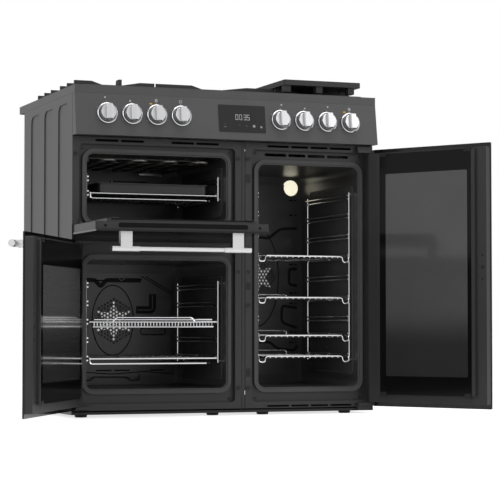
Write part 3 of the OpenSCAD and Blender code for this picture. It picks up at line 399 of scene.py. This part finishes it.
# A dark sheet behind the top vents and the gaps of the front frames, so
# that they show the unlit inside of the case.
backing = bmesh.new()
block(backing, (-440, 36.5, 752), (440, 38, 769.5))
new_piece("vent_shadow", backing, coated("inside_dark", srgb(8), 0.9, relief=0), "cooker",
          smooth=False)
plates = bmesh.new()
for z0, z1 in ((654.7, 678.5), (352.5, 373.5), (108, 131)):
    plate(plates, oblong(58, 71, z0, z1), 0.8, facing_front(FRONT), corner=2, rim=1.2, dip=0.4)
disc(plates, (64, 403, 0), 5.5, 0.8, facing_front(FRONT), hole=1.2)
disc(plates, (34, 403, 0), 5.5, 0.8, facing_front(FRONT), hole=1.2)
new_piece("catch_plates", plates, fixing_black, "cooker")

# ---------------------------------------------------------------- front frames
# Pressed steel behind the doors, in a darker, smoother black coat, with
# the strip between the columns and the hinge blocks in the same finish.
frame_black = coated("frame_black_coat", srgb(54), 0.34, size=1600, relief=0.06)
dress(frame_black, "front_frame_left", "front_frame_right", "centre_strip", "hinge_brackets")
dress(coated("base_black_coat", srgb(40), 0.5, relief=0.1), "base_frame")
dress(coated("galvanised_sheet", (0.42, 0.43, 0.44, 1), 0.38, metallic=0.9, size=60, tone=0.7),
      "back_panel", "gas_rail", "fan_motors")
dress(coated("seal_rubber", srgb(78), 0.62, size=700, relief=0.2), "seals_and_buffers")
dress(coated("foot_plastic", srgb(22), 0.55), "feet")
dress(coated("terminal_plastic", srgb(38), 0.5), "terminal_cover")

# ---------------------------------------------------------------- ovens
# The liners and fan covers are enamelled steel: near black, glassy, with
# fine pale flecks.
enamel = coated("oven_enamel", srgb(62), 0.26, size=420, tone=0.8, relief=0.05, shine=0.5)
dress(enamel, "grill_liner", "main_liner", "tall_liner", "fan_covers")
pan_enamel = coated("pan_enamel", srgb(30), 0.3, size=420, tone=0.8, relief=0.05, shine=0.4)
dress(pan_enamel, "grill_pan")
dress(coated("element_steel", (0.16, 0.155, 0.15, 1), 0.45, metallic=0.8, size=300, relief=0.2),
      "grill_element", "ring_elements")

# ---------------------------------------------------------------- pressed walls
# The rear covers of the fan ovens have pressed recesses, beads and slots that stiffen the
# sheet, and an oval line round each fan. The recesses and slots are drawn as thin dark
# bands and plates whose colour is painted shade, and the beads as paler bands whose colour
# is a painted highlight. Each side wall has a raised catalytic panel behind the rack.
COVER = 439.0
on_cover = facing_front(COVER)
# The recess bands are a near-black copy of the enamel: their colour is painted shade in the pressings.
recess = coated("pressing_shadow", srgb(16), 0.5, size=420, relief=0.05, shine=0.15)
grooves = bmesh.new()
groove(grooves, oval(-205.8, 267.5, 63.9, 103.8), 3.4, on_cover, closed=True)
groove(grooves, oval(252.5, 399.3, 72, 150), 3.4, on_cover, closed=True)
for points, width, bend in (
        ([(-82, 346), (-82, 298.6), (-133.2, 298.6)], 22.5, 9),
        ([(-340, 386.6), (-262, 386.6), (-244, 368), (-226, 386.6), (-118, 386.6)], 13, 6),
        ([(-117.4, 399), (-24, 346)], 3.2, 0), ([(-104, 399), (-20, 351)], 3.2, 0),
        ([(-290, 89.9), (-273.2, 89.7), (-262.2, 100.1), (-161.3, 98.6), (-148.5, 89.4),
          (-123, 89.7), (-123, 108)], 3, 4),
        ([(-290, 113.9), (-205.6, 107.8), (-105.5, 115.4), (-18.7, 107.1)], 3, 10),
        ([(386, 426), (362.5, 426), (359.8, 420), (359.8, 379), (386, 374.3)], 9, 8),
        ([(386, 306.8), (338.8, 312.8), (334.8, 300), (334.8, 268), (345, 258), (386, 245.5)], 8, 9),
        ([(259.9, 201), (293.8, 202.7), (320.2, 181.8), (378.2, 175.4), (387, 192)], 8, 10),
        ([(257.7, 523), (292, 519), (330, 549), (386, 552)], 8, 10)):
    groove(grooves, points, width, on_cover, bend)
groove(grooves, oblong(-118.6, -41.5, 225, 244.8), 3.4, on_cover, 8, closed=True)
new_piece("rear_recesses", grooves, recess, "cooker")
# The beads are a paler copy of the enamel: their lighter colour is a painted highlight on the raised lines.
beads = bmesh.new()
for points, bend in (([(-82, 342), (-82, 298.6), (-128, 298.6)], 7),
                     ([(-192, 399.6), (-179.5, 384.5), (-162, 398.4)], 2),
                     ([(-9.3, 102), (-9.3, 406)], 0)):
    groove(beads, points, 3.4, on_cover, bend, rise=0.8)
groove(beads, oblong(-112.5, -47.6, 231, 238.8), 3, on_cover, 3.5, closed=True, rise=0.6)
for x, z in ((-113.6, 403.4), (-104.6, 399.5)):
    disc(beads, (x, z, 0), 2.4, 1.0, on_cover, edge=0.5)
new_piece("rear_beads", beads, coated("pressing_painted_highlight", srgb(74), 0.3, size=420, relief=0.05, shine=0.4),
          "cooker")
slots = bmesh.new()
for x0, x1, z in ((-257.6, -208.8, 119), (-200.9, -151.8, 119), (-89.5, -46.2, 119),
                  (-264.8, -223.8, 385.5), (-149.3, -114.2, 389.5)):
    plate(slots, oblong(x0, x1, z - 2, z + 2), 0.9, on_cover, corner=1.9)
for z in (638, 592, 440, 352, 320, 232, 200):
    plate(slots, oblong(359.8, 373, z - 2.2, z + 2.2), 0.5, on_cover, corner=2)
    plate(slots, oblong(378.4, 385, z - 2.2, z + 2.2), 0.5, on_cover, corner=2)
new_piece("rear_slots", slots, coated("slot_shadow", srgb(6), 0.8, relief=0), "cooker")

# Behind the holes of each cover turns a bright six-pointed fan plate.
TIP, VALLEY, STAR_PLANE = 62, 27, 441.3
for body, x, z in (("main_fan", -202.5, 265.7), ("tall_fan", 252.5, 399.3)):
    star = bmesh.new()
    points = []
    for k in range(12):
        reach, turn = (TIP, VALLEY)[k % 2], pi / 2 + pi * k / 6
        points.append((reach * cos(turn) + x, reach * sin(turn) + z))
    plate(star, points, 0.4, facing_front(STAR_PLANE))
    steel = coated(body + "_star_steel", (0.75, 0.75, 0.74, 1), 0.35, metallic=1.0, size=60, tone=0.9,
                   relief=0.4)
    new_piece(body + "_star", star, steel, body, smooth=False)

# The grill's rear wall holds the thermostat's probe and its clip.
probe = bmesh.new()
wires(probe, [([(-208, 446, 681.8), (-99, 446, 681.8)], 0)], 1.7)
loop = [(x, 447, z) for x, z in oval(-127, 706, 4.6, 4.6, steps=16)]
wires(probe, [(loop, 0)], 1.0, closed=True)
block(probe, (-122, 444.5, 700.5), (-54, 449.5, 711), 2)
disc(probe, (-208, 681.8, 0), 4, 5, facing_front(449), edge=1.6)
disc(probe, (-54, 702.4, 0), 4.2, 4.5, facing_front(449.5), edge=1.2)
new_piece("grill_probe", probe, fixing_steel, "cooker")


def facing_across(x, side):
    """Local X to the back, local Y up and local Z away from a side wall."""
    return Matrix(((0, 0, side, x), (1, 0, 0, 0), (0, 1, 0, 0), (0, 0, 0, 1)))


lining = coated("side_lining", srgb(76), 0.55, size=900, tone=0.9, relief=0.3)
linings = bmesh.new()
for x, side in ((-406.5, 1), (1.5, -1)):
    plate(linings, oblong(62, 405, 96, 396), 2.2, facing_across(x, side), corner=10, rim=7, dip=1.2)
    plate(linings, oblong(62, 405, 560, 700), 2.2, facing_across(x, side), corner=10, rim=7, dip=1.2)
for x, side in ((98.5, 1), (406.5, -1)):
    plate(linings, oblong(62, 380, 110, 660), 2.2, facing_across(x, side), corner=10, rim=7, dip=1.2)
    for z in (184.6, 363.5):
        disc(linings, (250, z, 2.2), 4.5, 3.5, facing_across(x, side), edge=1.5)
        plate(linings, oblong(244, 256, z - 1, z + 1), 6.5, facing_across(x, side))
new_piece("side_linings", linings, lining, "cooker")

# ---------------------------------------------------------------- wires
# The racks and shelves are chromed wire with rounded bends. Each shelf's
# rails run between a pair of rungs, and the fronts stand behind the seals.
chrome = coated("chromed_wire", (0.66, 0.66, 0.67, 1), 0.14, metallic=1.0, size=500, tone=0.3, relief=0.03)
# Left and right wall of each oven, and where the racks and shelves begin.
GRILL, MAIN, TALL = (-406.5, 1.5), (-406.5, 1.5), (98.5, 406.5)
RACK_FRONT, SHELF_FRONT = 69.0, 60.0
racks = bmesh.new()
thick = []
WIRE, SHELF_WIRE, GRID_WIRE = 2.5, 2.4, 1.7
RUNG_RISE, POST_END, FOOT_END = 5.4, 14, 9
for (left, right), levels, back, stand in (
        (GRILL, (618, 658), 420, 10.0), (MAIN, (161.0, 211.6, 262.2, 312.8, 363.4), 420, 10.0),
        (TALL, (164.0, 223.5, 272.6, 332.3, 391.9, 451.5, 511.2, 570.8, 625.0), 378, 9.5)):
    for wall, s in ((left, 1), (right, -1)):
        for y in (RACK_FRONT, back):
            thick.append(([(wall + s * stand, y, levels[0] - POST_END),
                           (wall + s * stand, y, levels[-1] + POST_END)], 0))
            for z in (levels[0] - FOOT_END, levels[-1] + FOOT_END):
                thick.append(([(wall, y, z), (wall + s * stand, y, z)], 0))
        # each rung starts at the inner side of the front upright and runs out to the shelf's rail
        offset = stand + 4.6
        rail = offset + (4.0 if stand == 10 else 0)
        for level in levels:
            for z in (level - RUNG_RISE, level + RUNG_RISE):
                thick.append(([(wall + s * offset, RACK_FRONT - 2, z), (wall + s * rail, RACK_FRONT + 12, z),
                               (wall + s * rail, back - 10, z), (wall + s * offset, back + 2, z)], 4))
wires(racks, thick, WIRE)
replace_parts(new_piece("side_racks_wires", racks, chrome, "cooker"), "side_racks")


def shelf(node, x0, x1, level, back, runs, fine):
    """A wire shelf: its rails and back wire, its own front wires and its thin grid wires."""
    bm = bmesh.new()
    rails = [([(x, SHELF_FRONT, level), (x, back, level)], 0) for x in (x0, x1)]
    wires(bm, rails + [([(x0, back, level), (x1, back, level)], 0)] + runs, SHELF_WIRE)
    wires(bm, fine, GRID_WIRE)
    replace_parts(new_piece(node + "_wires", bm, chrome, node), node)


def across(x0, x1, count, level, back, drop=0.0):
    """Thin wires from front to back, side by side."""
    step = (x1 - x0) / (count - 1)
    runs = []
    for x in (x0 + i * step for i in range(count)):
        hook = [(x, SHELF_FRONT, level - drop)] if drop else []
        runs.append((hook + [(x, SHELF_FRONT, level), (x, back, level)], 0))
    return runs


F, BACK, MIDDLE = SHELF_FRONT, 409, 235
L, R = -387.15, -17.85
for node, level in (("grill_shelf", 618.0), ("main_low_shelf", 161.0)):
    low = level - 15
    lower = [(L, F, level), (L, F, low), (-45, F, low), (-30, F + 12, low), (-30, 300, low), (-30, 300, level)]
    shelf(node, L, R, level, BACK, [
        ([(L - 2, F, level - 1), (R + 2, F, level - 1)], 0), ([(L, MIDDLE, level), (R, MIDDLE, level)], 0),
        (lower, 8)], across(L + 20, R - 20, 17, level, BACK))
shelf("main_shelf", L, R, 262.2, BACK, [
    ([(L - 2, F, 262.2), (R + 2, F, 262.2)], 0), ([(L + 12, F, 268.6), (R - 12, F, 268.6)], 0),
    ([(L, MIDDLE, 262.2), (R, MIDDLE, 262.2)], 0), ([(L + 8, F, 248.6), (R - 8, F, 248.6)], 0),
    ([(-322, F, 262.2), (-310, F, 274.6), (-92, F, 274.6), (-80, F, 262.2)], 5)],
    across(L + 12, R - 12, 39, 260.5, BACK, drop=12))
TL, TR, TALL_BACK, DIP = 113.35, 391.65, 368, 16
for i, level in enumerate((451.5, 332.3, 223.5, 164.0)):
    low, raised = level - DIP, level + 13
    dips = [(TL, F + 24, level), (TL, F, level - 2), (TL, F, low), (TL + 18, F, low), (TL + 20, F, level),
            (TR - 20, F, level), (TR - 18, F, low), (TR, F, low), (TR, F, level - 2), (TR, F + 24, level)]
    upstand = [(TL, TALL_BACK, level), (TL, TALL_BACK, raised),
               (TR - 70, TALL_BACK, raised), (TR - 70, TALL_BACK, level)]
    bm = bmesh.new()
    wires(bm, [(dips, 7)] + [([(x, F + 20, level), (x, TALL_BACK, level)], 0) for x in (TL, TR)] + [
        ([(TL, y, level), (TR, y, level)], 0) for y in (TALL_BACK, 212)] + [(upstand, 5)], SHELF_WIRE)
    wires(bm, across(TL + 34, TR - 34, 13, level - 3.4, TALL_BACK), GRID_WIRE)
    node = "tall_shelf_%d" % (i + 1)
    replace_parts(new_piece(node + "_wires", bm, chrome, node), node)
dress(coated("fan_steel", (0.10, 0.10, 0.10, 1), 0.5, metallic=0.9, size=200), "main_fan", "tall_fan")

# ---------------------------------------------------------------- oven lamp
# A warm lit lamp behind a round glass, high on the tall oven's rear wall.
lamp_glass = bpy.data.materials.new("lit_lamp_glass")
lamp_glass.use_nodes = True
tree = lamp_glass.node_tree
shader = tree.nodes["Principled BSDF"]
shader.inputs["Base Color"].default_value = (0.9, 0.88, 0.78, 1)
shader.inputs["Roughness"].default_value = 0.25
shader.inputs["Emission Strength"].default_value = 0.95
coord = tree.nodes.new("ShaderNodeTexCoord")
dots = tree.nodes.new("ShaderNodeTexVoronoi")
dots.inputs["Scale"].default_value = 240
warm = tree.nodes.new("ShaderNodeValToRGB")
warm.color_ramp.elements[0].color = (1.0, 0.97, 0.80, 1)
warm.color_ramp.elements[1].color = (0.80, 0.74, 0.52, 1)
tree.links.new(coord.outputs["Object"], dots.inputs["Vector"])
tree.links.new(dots.outputs["Distance"], warm.inputs["Fac"])
tree.links.new(warm.outputs["Color"], shader.inputs["Emission Color"])
dress(lamp_glass, "lamp_lenses")

# ---------------------------------------------------------------- controls
# Turned and brushed metal knobs in polished rings, and a dark glass display.
brushed_group = bpy.data.node_groups.new("brushed_lines", "ShaderNodeTree")
new_socket(brushed_group, "Stretch", "INPUT", "NodeSocketVector", (20.0, 2000.0, 2000.0))
new_socket(brushed_group, "Colour", "INPUT", "NodeSocketColor", (0.6, 0.6, 0.6, 1))
new_socket(brushed_group, "Rough", "INPUT", "NodeSocketFloat", 0.25)
new_socket(brushed_group, "Colour", "OUTPUT", "NodeSocketColor")
new_socket(brushed_group, "Roughness", "OUTPUT", "NodeSocketFloat")
new_socket(brushed_group, "Normal", "OUTPUT", "NodeSocketVector")
n = brushed_group.nodes
g_in, g_out = n.new("NodeGroupInput"), n.new("NodeGroupOutput")
coord, scale, lines = (n.new(k) for k in (
    "ShaderNodeTexCoord", "ShaderNodeVectorMath", "ShaderNodeTexNoise"))
scale.operation = "MULTIPLY"
lines.inputs["Scale"].default_value = 1.0
lines.inputs["Detail"].default_value = 2
tone, rough, bump = n.new("ShaderNodeMixRGB"), n.new("ShaderNodeMath"), n.new("ShaderNodeBump")
tone.blend_type = "MULTIPLY"
tone.inputs["Fac"].default_value = 0.25
rough.operation = "MULTIPLY_ADD"
rough.inputs[1].default_value = 0.18
bump.inputs["Strength"].default_value = 0.08
bump.inputs["Distance"].default_value = 0.0002
brushed_group.links.new(coord.outputs["Object"], scale.inputs[0])
brushed_group.links.new(g_in.outputs["Stretch"], scale.inputs[1])
brushed_group.links.new(scale.outputs[0], lines.inputs["Vector"])
brushed_group.links.new(g_in.outputs["Colour"], tone.inputs["Color1"])
brushed_group.links.new(lines.outputs["Fac"], tone.inputs["Color2"])
brushed_group.links.new(lines.outputs["Fac"], rough.inputs[0])
brushed_group.links.new(g_in.outputs["Rough"], rough.inputs[2])
brushed_group.links.new(lines.outputs["Fac"], bump.inputs["Height"])
brushed_group.links.new(tone.outputs[0], g_out.inputs["Colour"])
brushed_group.links.new(rough.outputs[0], g_out.inputs["Roughness"])
brushed_group.links.new(bump.outputs[0], g_out.inputs["Normal"])


def brushed(name, colour, rough, stretch):
    mat = bpy.data.materials.new(name)
    mat.use_nodes = True
    tree = mat.node_tree
    shader = tree.nodes["Principled BSDF"]
    shader.inputs["Metallic"].default_value = 1.0
    group = tree.nodes.new("ShaderNodeGroup")
    group.node_tree = brushed_group
    group.inputs["Stretch"].default_value = stretch
    group.inputs["Colour"].default_value = colour
    group.inputs["Rough"].default_value = rough
    tree.links.new(group.outputs["Colour"], shader.inputs["Base Color"])
    tree.links.new(group.outputs["Roughness"], shader.inputs["Roughness"])
    tree.links.new(group.outputs["Normal"], shader.inputs["Normal"])
    return mat


knob_metal = brushed("brushed_knob", (0.56, 0.56, 0.57, 1), 0.24, (1500, 1500, 30))
dress(knob_metal, *["knob_%d" % i for i in range(1, 9)])
dress(coated("polished_ring", (0.50, 0.50, 0.51, 1), 0.16, metallic=1.0, tone=0.2, relief=0.02), "knob_bezels")
display_dark = coated("display_glass_dark", srgb(36), 0.12, size=500, tone=0.3, relief=0.0)
dress(display_dark, "display_glass")

FASCIA_TOP, FASCIA_HEIGHT, FASCIA_SLOPE = 888.0, 116.0, 17.6


def facing_fascia(x, z, out=0.0):
    """Local X across, local Y up the sloping fascia and local Z out of it."""
    s = atan2(FASCIA_SLOPE, FASCIA_HEIGHT)
    y = -FASCIA_SLOPE * (FASCIA_TOP - z) / FASCIA_HEIGHT
    turn = Matrix(((1, 0, 0, x), (0, sin(s), -cos(s), y), (0, cos(s), sin(s), z), (0, 0, 0, 1)))
    return turn @ Matrix.Translation((0, 0, out))


def printed(name, level, glow=0.0, tint=None):
    """Printed marks and lit digits: a flat matt ink, with a slight unevenness."""
    mat = coated(name, tint or srgb(level), 0.6, size=1200, relief=0.0, tone=0.4)
    shader = mat.node_tree.nodes["Principled BSDF"]
    shader.inputs["Emission Color"].default_value = tint or srgb(level)
    shader.inputs["Emission Strength"].default_value = glow
    return mat


# The lit clock: four seven-bar digits over six touch symbols.
BARS = {"0": "abcdef", "3": "abcdg", "5": "acdfg"}
digits = bmesh.new()
for x, digit in ((15.0, "0"), (26.6, "0"), (39.4, "3"), (49.4, "5")):
    w, h, t = 8.0, 15.5, 1.15
    bar = {"a": (0, w, h - t, h), "d": (0, w, 0, t), "g": (0, w, h / 2 - t / 2, h / 2 + t / 2),
           "b": (w - t, w, h / 2 + 0.5, h), "c": (w - t, w, 0, h / 2 - 0.5),
           "f": (0, t, h / 2 + 0.5, h), "e": (0, t, 0, h / 2 - 0.5)}
    for key in BARS[digit]:
        x0, x1, y0, y1 = bar[key]
        plate(digits, oblong(x + x0, x + x1, y0 - 9, y1 - 9), 0.08, facing_fascia(0, 837.5, 1.2))
new_piece("clock_digits", digits, printed("lit_digit", 185, 0.2), "cooker", smooth=False)


def ring(bm, x, y, radius, width, place, sides=20):
    """A thin printed ring."""
    part = bmesh.new()
    bmesh.ops.create_circle(part, cap_ends=True, segments=sides, radius=radius)
    faces = list(part.faces)
    bmesh.ops.inset_region(part, faces=faces, thickness=width)
    bmesh.ops.delete(part, geom=faces, context="FACES")
    grown = bmesh.ops.extrude_face_region(part, geom=list(part.faces))["geom"]
    bmesh.ops.translate(part, vec=(0, 0, 0.08), verts=[g for g in grown if isinstance(g, bmesh.types.BMVert)])
    bmesh.ops.transform(part, matrix=place @ Matrix.Translation((x, y, 0)), verts=part.verts)
    join(bm, part)


touch = bmesh.new()
row = facing_fascia(0, 812, 1.2)
ring(touch, -17.5, -0.8, 3.2, 0.7, row)
plate(touch, oblong(-21.5, -13.5, -5.0, -4.2), 0.08, row)
plate(touch, oblong(-18.2, -16.8, 2.6, 4.4), 0.08, row)
ring(touch, 4.3, 0, 5.0, 0.7, row, sides=4)
ring(touch, 25.8, 0, 4.4, 0.6, row)
plate(touch, oblong(25.5, 26.1, 0, 3.0), 0.08, row)
ring(touch, 47.7, 0, 4.6, 0.6, row)
ring(touch, 47.7, 0, 2.6, 0.6, row)
disc(touch, (47.7, 0, 0), 1.0, 0.08, row, sides=12)
disc(touch, (69.7, 0, 0), 4.0, 0.08, row, sides=16)
plate(touch, oblong(88.6, 94.2, -4.6, 0.6), 0.08, row, corner=0.6)
ring(touch, 91.4, 1.4, 2.6, 0.8, row)
new_piece("touch_symbols", touch, printed("touch_ink", 150, 0.1), "cooker", smooth=False)

# Printed marks above the knobs: four small rings with one filled for a
# burner, or a small frame for an oven, over a dot that the knob points to.
KNOBS = [3.5 + s * (149 + i * 71.4) for s, order in ((-1, (3, 2, 1, 0)), (1, (0, 1, 2, 3))) for i in order]
KNOB_Z = 832.7
marks = bmesh.new()
for i, x in enumerate(KNOBS):
    face = facing_fascia(x, KNOB_Z)
    disc(marks, (0, 32.8, 0), 1.0, 0.08, face, sides=12)
    if i in (2, 3, 7):
        for x0, x1, y0, y1 in ((-3.8, 3.8, 37, 38.1), (-3.8, -2.7, 37, 45),
                               (-3.8, 3.8, 43.9, 45), (2.7, 3.8, 37, 45)):
            plate(marks, oblong(x0, x1, y0, y1), 0.08, face)
        if i != 3:
            plate(marks, oblong(-1.8, 1.8, 39.2, 42.8), 0.08, face)
    else:
        filled = {0: 0, 1: 1, 4: 2, 5: 3, 6: 2}[i]
        for k, (dx, dy) in enumerate(((-4.4, 45), (-4.4, 37.4), (4.4, 45), (4.4, 37.4))):
            if k == filled:
                disc(marks, (dx, dy, 0), 2.3, 0.08, face, sides=14)
            else:
                ring(marks, dx, dy, 2.1, 0.8, face, sides=14)
    # the scale round the knob: short ticks for low and high
    for angle in (-60, 60, 120):
        tick = face @ Matrix.Rotation(radians(angle), 4, "Z")
        plate(marks, oblong(-0.4, 0.4, 31.2, 33.4), 0.08, tick)
new_piece("knob_marks", marks, printed("grey_ink", 190), "cooker", smooth=False)
pilots = bmesh.new()
for i in (2, 7):
    plate(pilots, oblong(-19.5, -12.5, 29.5, 33.5), 0.5, facing_fascia(KNOBS[i], KNOB_Z), corner=1)
new_piece("pilot_lights", pilots, printed("amber_lens", 0, 0.1, (0.58, 0.32, 0.02, 1)), "cooker")

# ---------------------------------------------------------------- hob
# Cast iron pan supports and griddle, with aluminium burners under
# enamelled caps.
cast = coated("cast_iron_black", srgb(50), 0.55, size=520, tone=0.8, relief=0.5)
dress(cast, "pan_support_left", "pan_support_centre", "pan_support_right", "griddle", "burner_caps")
dress(coated("burner_aluminium", (0.35, 0.35, 0.35, 1), 0.42, metallic=0.9, size=300, relief=0.2),
      "burner_bodies")

# ---------------------------------------------------------------- doors
# Each door is a painted steel case behind a dark outer glass, with an
# inner glass that has a printed black border round a clear window.
door_paint = coated("door_frame_coat", srgb(52), 0.36, size=1500, relief=0.06)
dress(door_paint, "main_door_frame", "tall_door_frame", "grill_door_frame")
outer_glass = coated("outer_glass_black", srgb(16), 0.06, size=300, tone=0.2, relief=0.0, shine=0.3)
dress(outer_glass, "main_door_glass", "tall_door_glass", "grill_door_glass")
inner_print = coated("inner_glass_print", srgb(16), 0.07, size=300, tone=0.2, relief=0.0, shine=0.12)
dress(inner_print, "main_door_inner_glass", "tall_door_inner_glass", "grill_door_inner_glass")
handle_metal = brushed("brushed_handle", (0.62, 0.62, 0.62, 1), 0.22, (30, 1600, 1600))
dress(handle_metal, "main_door_handle", "tall_door_handle", "grill_door_handle")

HINGES = {j["child"]: j for j in frame["joints"]}


def swung(door):
    """Carries a piece drawn on the shut door to where the open door holds it."""
    hinge = HINGES[door]
    pin = Vector(hinge["pos_m"]) * 1000
    turn = Matrix.Rotation(radians(-hinge["range_deg"][0]), 4, Vector(hinge["axis"]))
    return Matrix.Translation(pin) @ turn @ Matrix.Translation(-pin)


def facing_back(y):
    """Local X across, local Y up and local Z towards the oven, from a shut door's inner face."""
    return Matrix(((1, 0, 0, 0), (0, 0, 1, y), (0, 1, 0, 0), (0, 0, 0, 1)))


# Outlines of the shut door glasses: left, right, bottom, top.
DOORS = {"main_door": (-448, 46, 21, 484.5), "tall_door": (53, 448, 20.5, 759),
         "grill_door": (-448, 44.5, 495, 759)}
CASE_BACK, PACK_BACK = 16.0, 24.5
# The clear windows in the inner glasses. The door frames behind them are
# solid, so a fixed gradient over the height stands for what shows through: painted
# light, darker below for the floor and lighter above for the lit backdrop.
WINDOWS = {"main_door": (-381, -17, 108, 403), "tall_door": (111, 382, 108.5, 684),
           "grill_door": (-369, -34.5, 597, 682)}
window_glass = coated("inner_window_glass", srgb(44), 0.05, size=200, tone=0.3, relief=0.0, shine=0.3)
tree = window_glass.node_tree
coord, apart, ramp, fade = (tree.nodes.new(k) for k in (
    "ShaderNodeTexCoord", "ShaderNodeSeparateXYZ", "ShaderNodeMapRange", "ShaderNodeMixRGB"))
ramp.interpolation_type = "SMOOTHSTEP"
DARK_BELOW, LIGHT_ABOVE = 0.19, 0.31
ramp.inputs["From Min"].default_value = DARK_BELOW
ramp.inputs["From Max"].default_value = LIGHT_ABOVE
fade.inputs["Color1"].default_value = srgb(50)
fade.inputs["Color2"].default_value = srgb(84)
tree.links.new(coord.outputs["Object"], apart.inputs[0])
tree.links.new(apart.outputs["Z"], ramp.inputs["Value"])
tree.links.new(ramp.outputs[0], fade.inputs["Fac"])
tree.links.new(fade.outputs[0], next(k for k in tree.nodes if k.type == "GROUP").inputs["Colour"])
for door, (x0, x1, z0, z1) in DOORS.items():
    place = swung(door) @ facing_back(PACK_BACK)
    foot = 50 if door == "grill_door" else 35
    pane = (x0 + 45, x1 - 45, z0 + foot, z1 - 17)
    window = bmesh.new()
    plate(window, oblong(*WINDOWS[door]), 0.12, place, corner=4)
    new_piece(door + "_window", window, window_glass, door, smooth=False)
    clips = bmesh.new()
    for x in (pane[0] + 12, pane[1] - 12):
        for z in (pane[2] + 2, pane[3] - 2):
            plate(clips, oblong(x - 11, x + 11, z - 6, z + 6), 1.6, place, corner=2, rim=1.5, dip=-0.6)
            disc(clips, (x, z, 1.6), 2.4, 0.8, place, edge=0.5, sides=16)
    new_piece(door + "_clips", clips, fixing_black, door)

# The free side of each side-opening door has a latch hole between two screws.
for door, x, z in (("tall_door", 68, 413), ("main_door", 30, 248)):
    catch = bmesh.new()
    place = swung(door) @ facing_back(CASE_BACK)
    disc(catch, (x, z, 0), 5.2, 1.0, place, edge=0.5, hole=1.3)
    for dz in (-33, 33):
        disc(catch, (x, z + dz, 0), 3.4, 1.0, place, edge=0.7, hole=1.6)
    new_piece(door + "_catch", catch, fixing_black, door)

# The drop door's free edge has a long rounded slot with a screw near each end. The slot is a thin near-black
# plate whose colour is painted shade inside the slot; the screws share its black.
edge_marks = bmesh.new()
top_face = Matrix(((1, 0, 0, 0), (0, 1, 0, 0), (0, 0, 1, 747), (0, 0, 0, 1)))
plate(edge_marks, oblong(-384, -18, 0.4, 13), 0.3, swung("grill_door") @ top_face, corner=5, rim=0.8, dip=0.2)
for x in (-420, 16):
    disc(edge_marks, (x, 5, 0), 3.6, 0.8, swung("grill_door") @ top_face, edge=0.6, hole=1.6)
new_piece("grill_door_edge_slot", edge_marks, coated("slot_shade_and_black_screws", srgb(12), 0.6, relief=0.05, shine=0.1),
          "grill_door")

# Turned rings where each handle's sleeves meet its tube.
for door, (x0, x1, z0, z1) in DOORS.items():
    seams = bmesh.new()
    for x in (x0 + 49.5 + 77, x1 - 49.5 - 77):
        turn = Matrix.Translation((x - 0.7, -54, z1 - 27)) @ Matrix.Rotation(pi / 2, 4, "Y")
        disc(seams, (0, 0, 0), 8.55, 1.4, swung(door) @ turn, sides=40)
    new_piece(door + "_handle_seams", seams, fixing_steel, door)
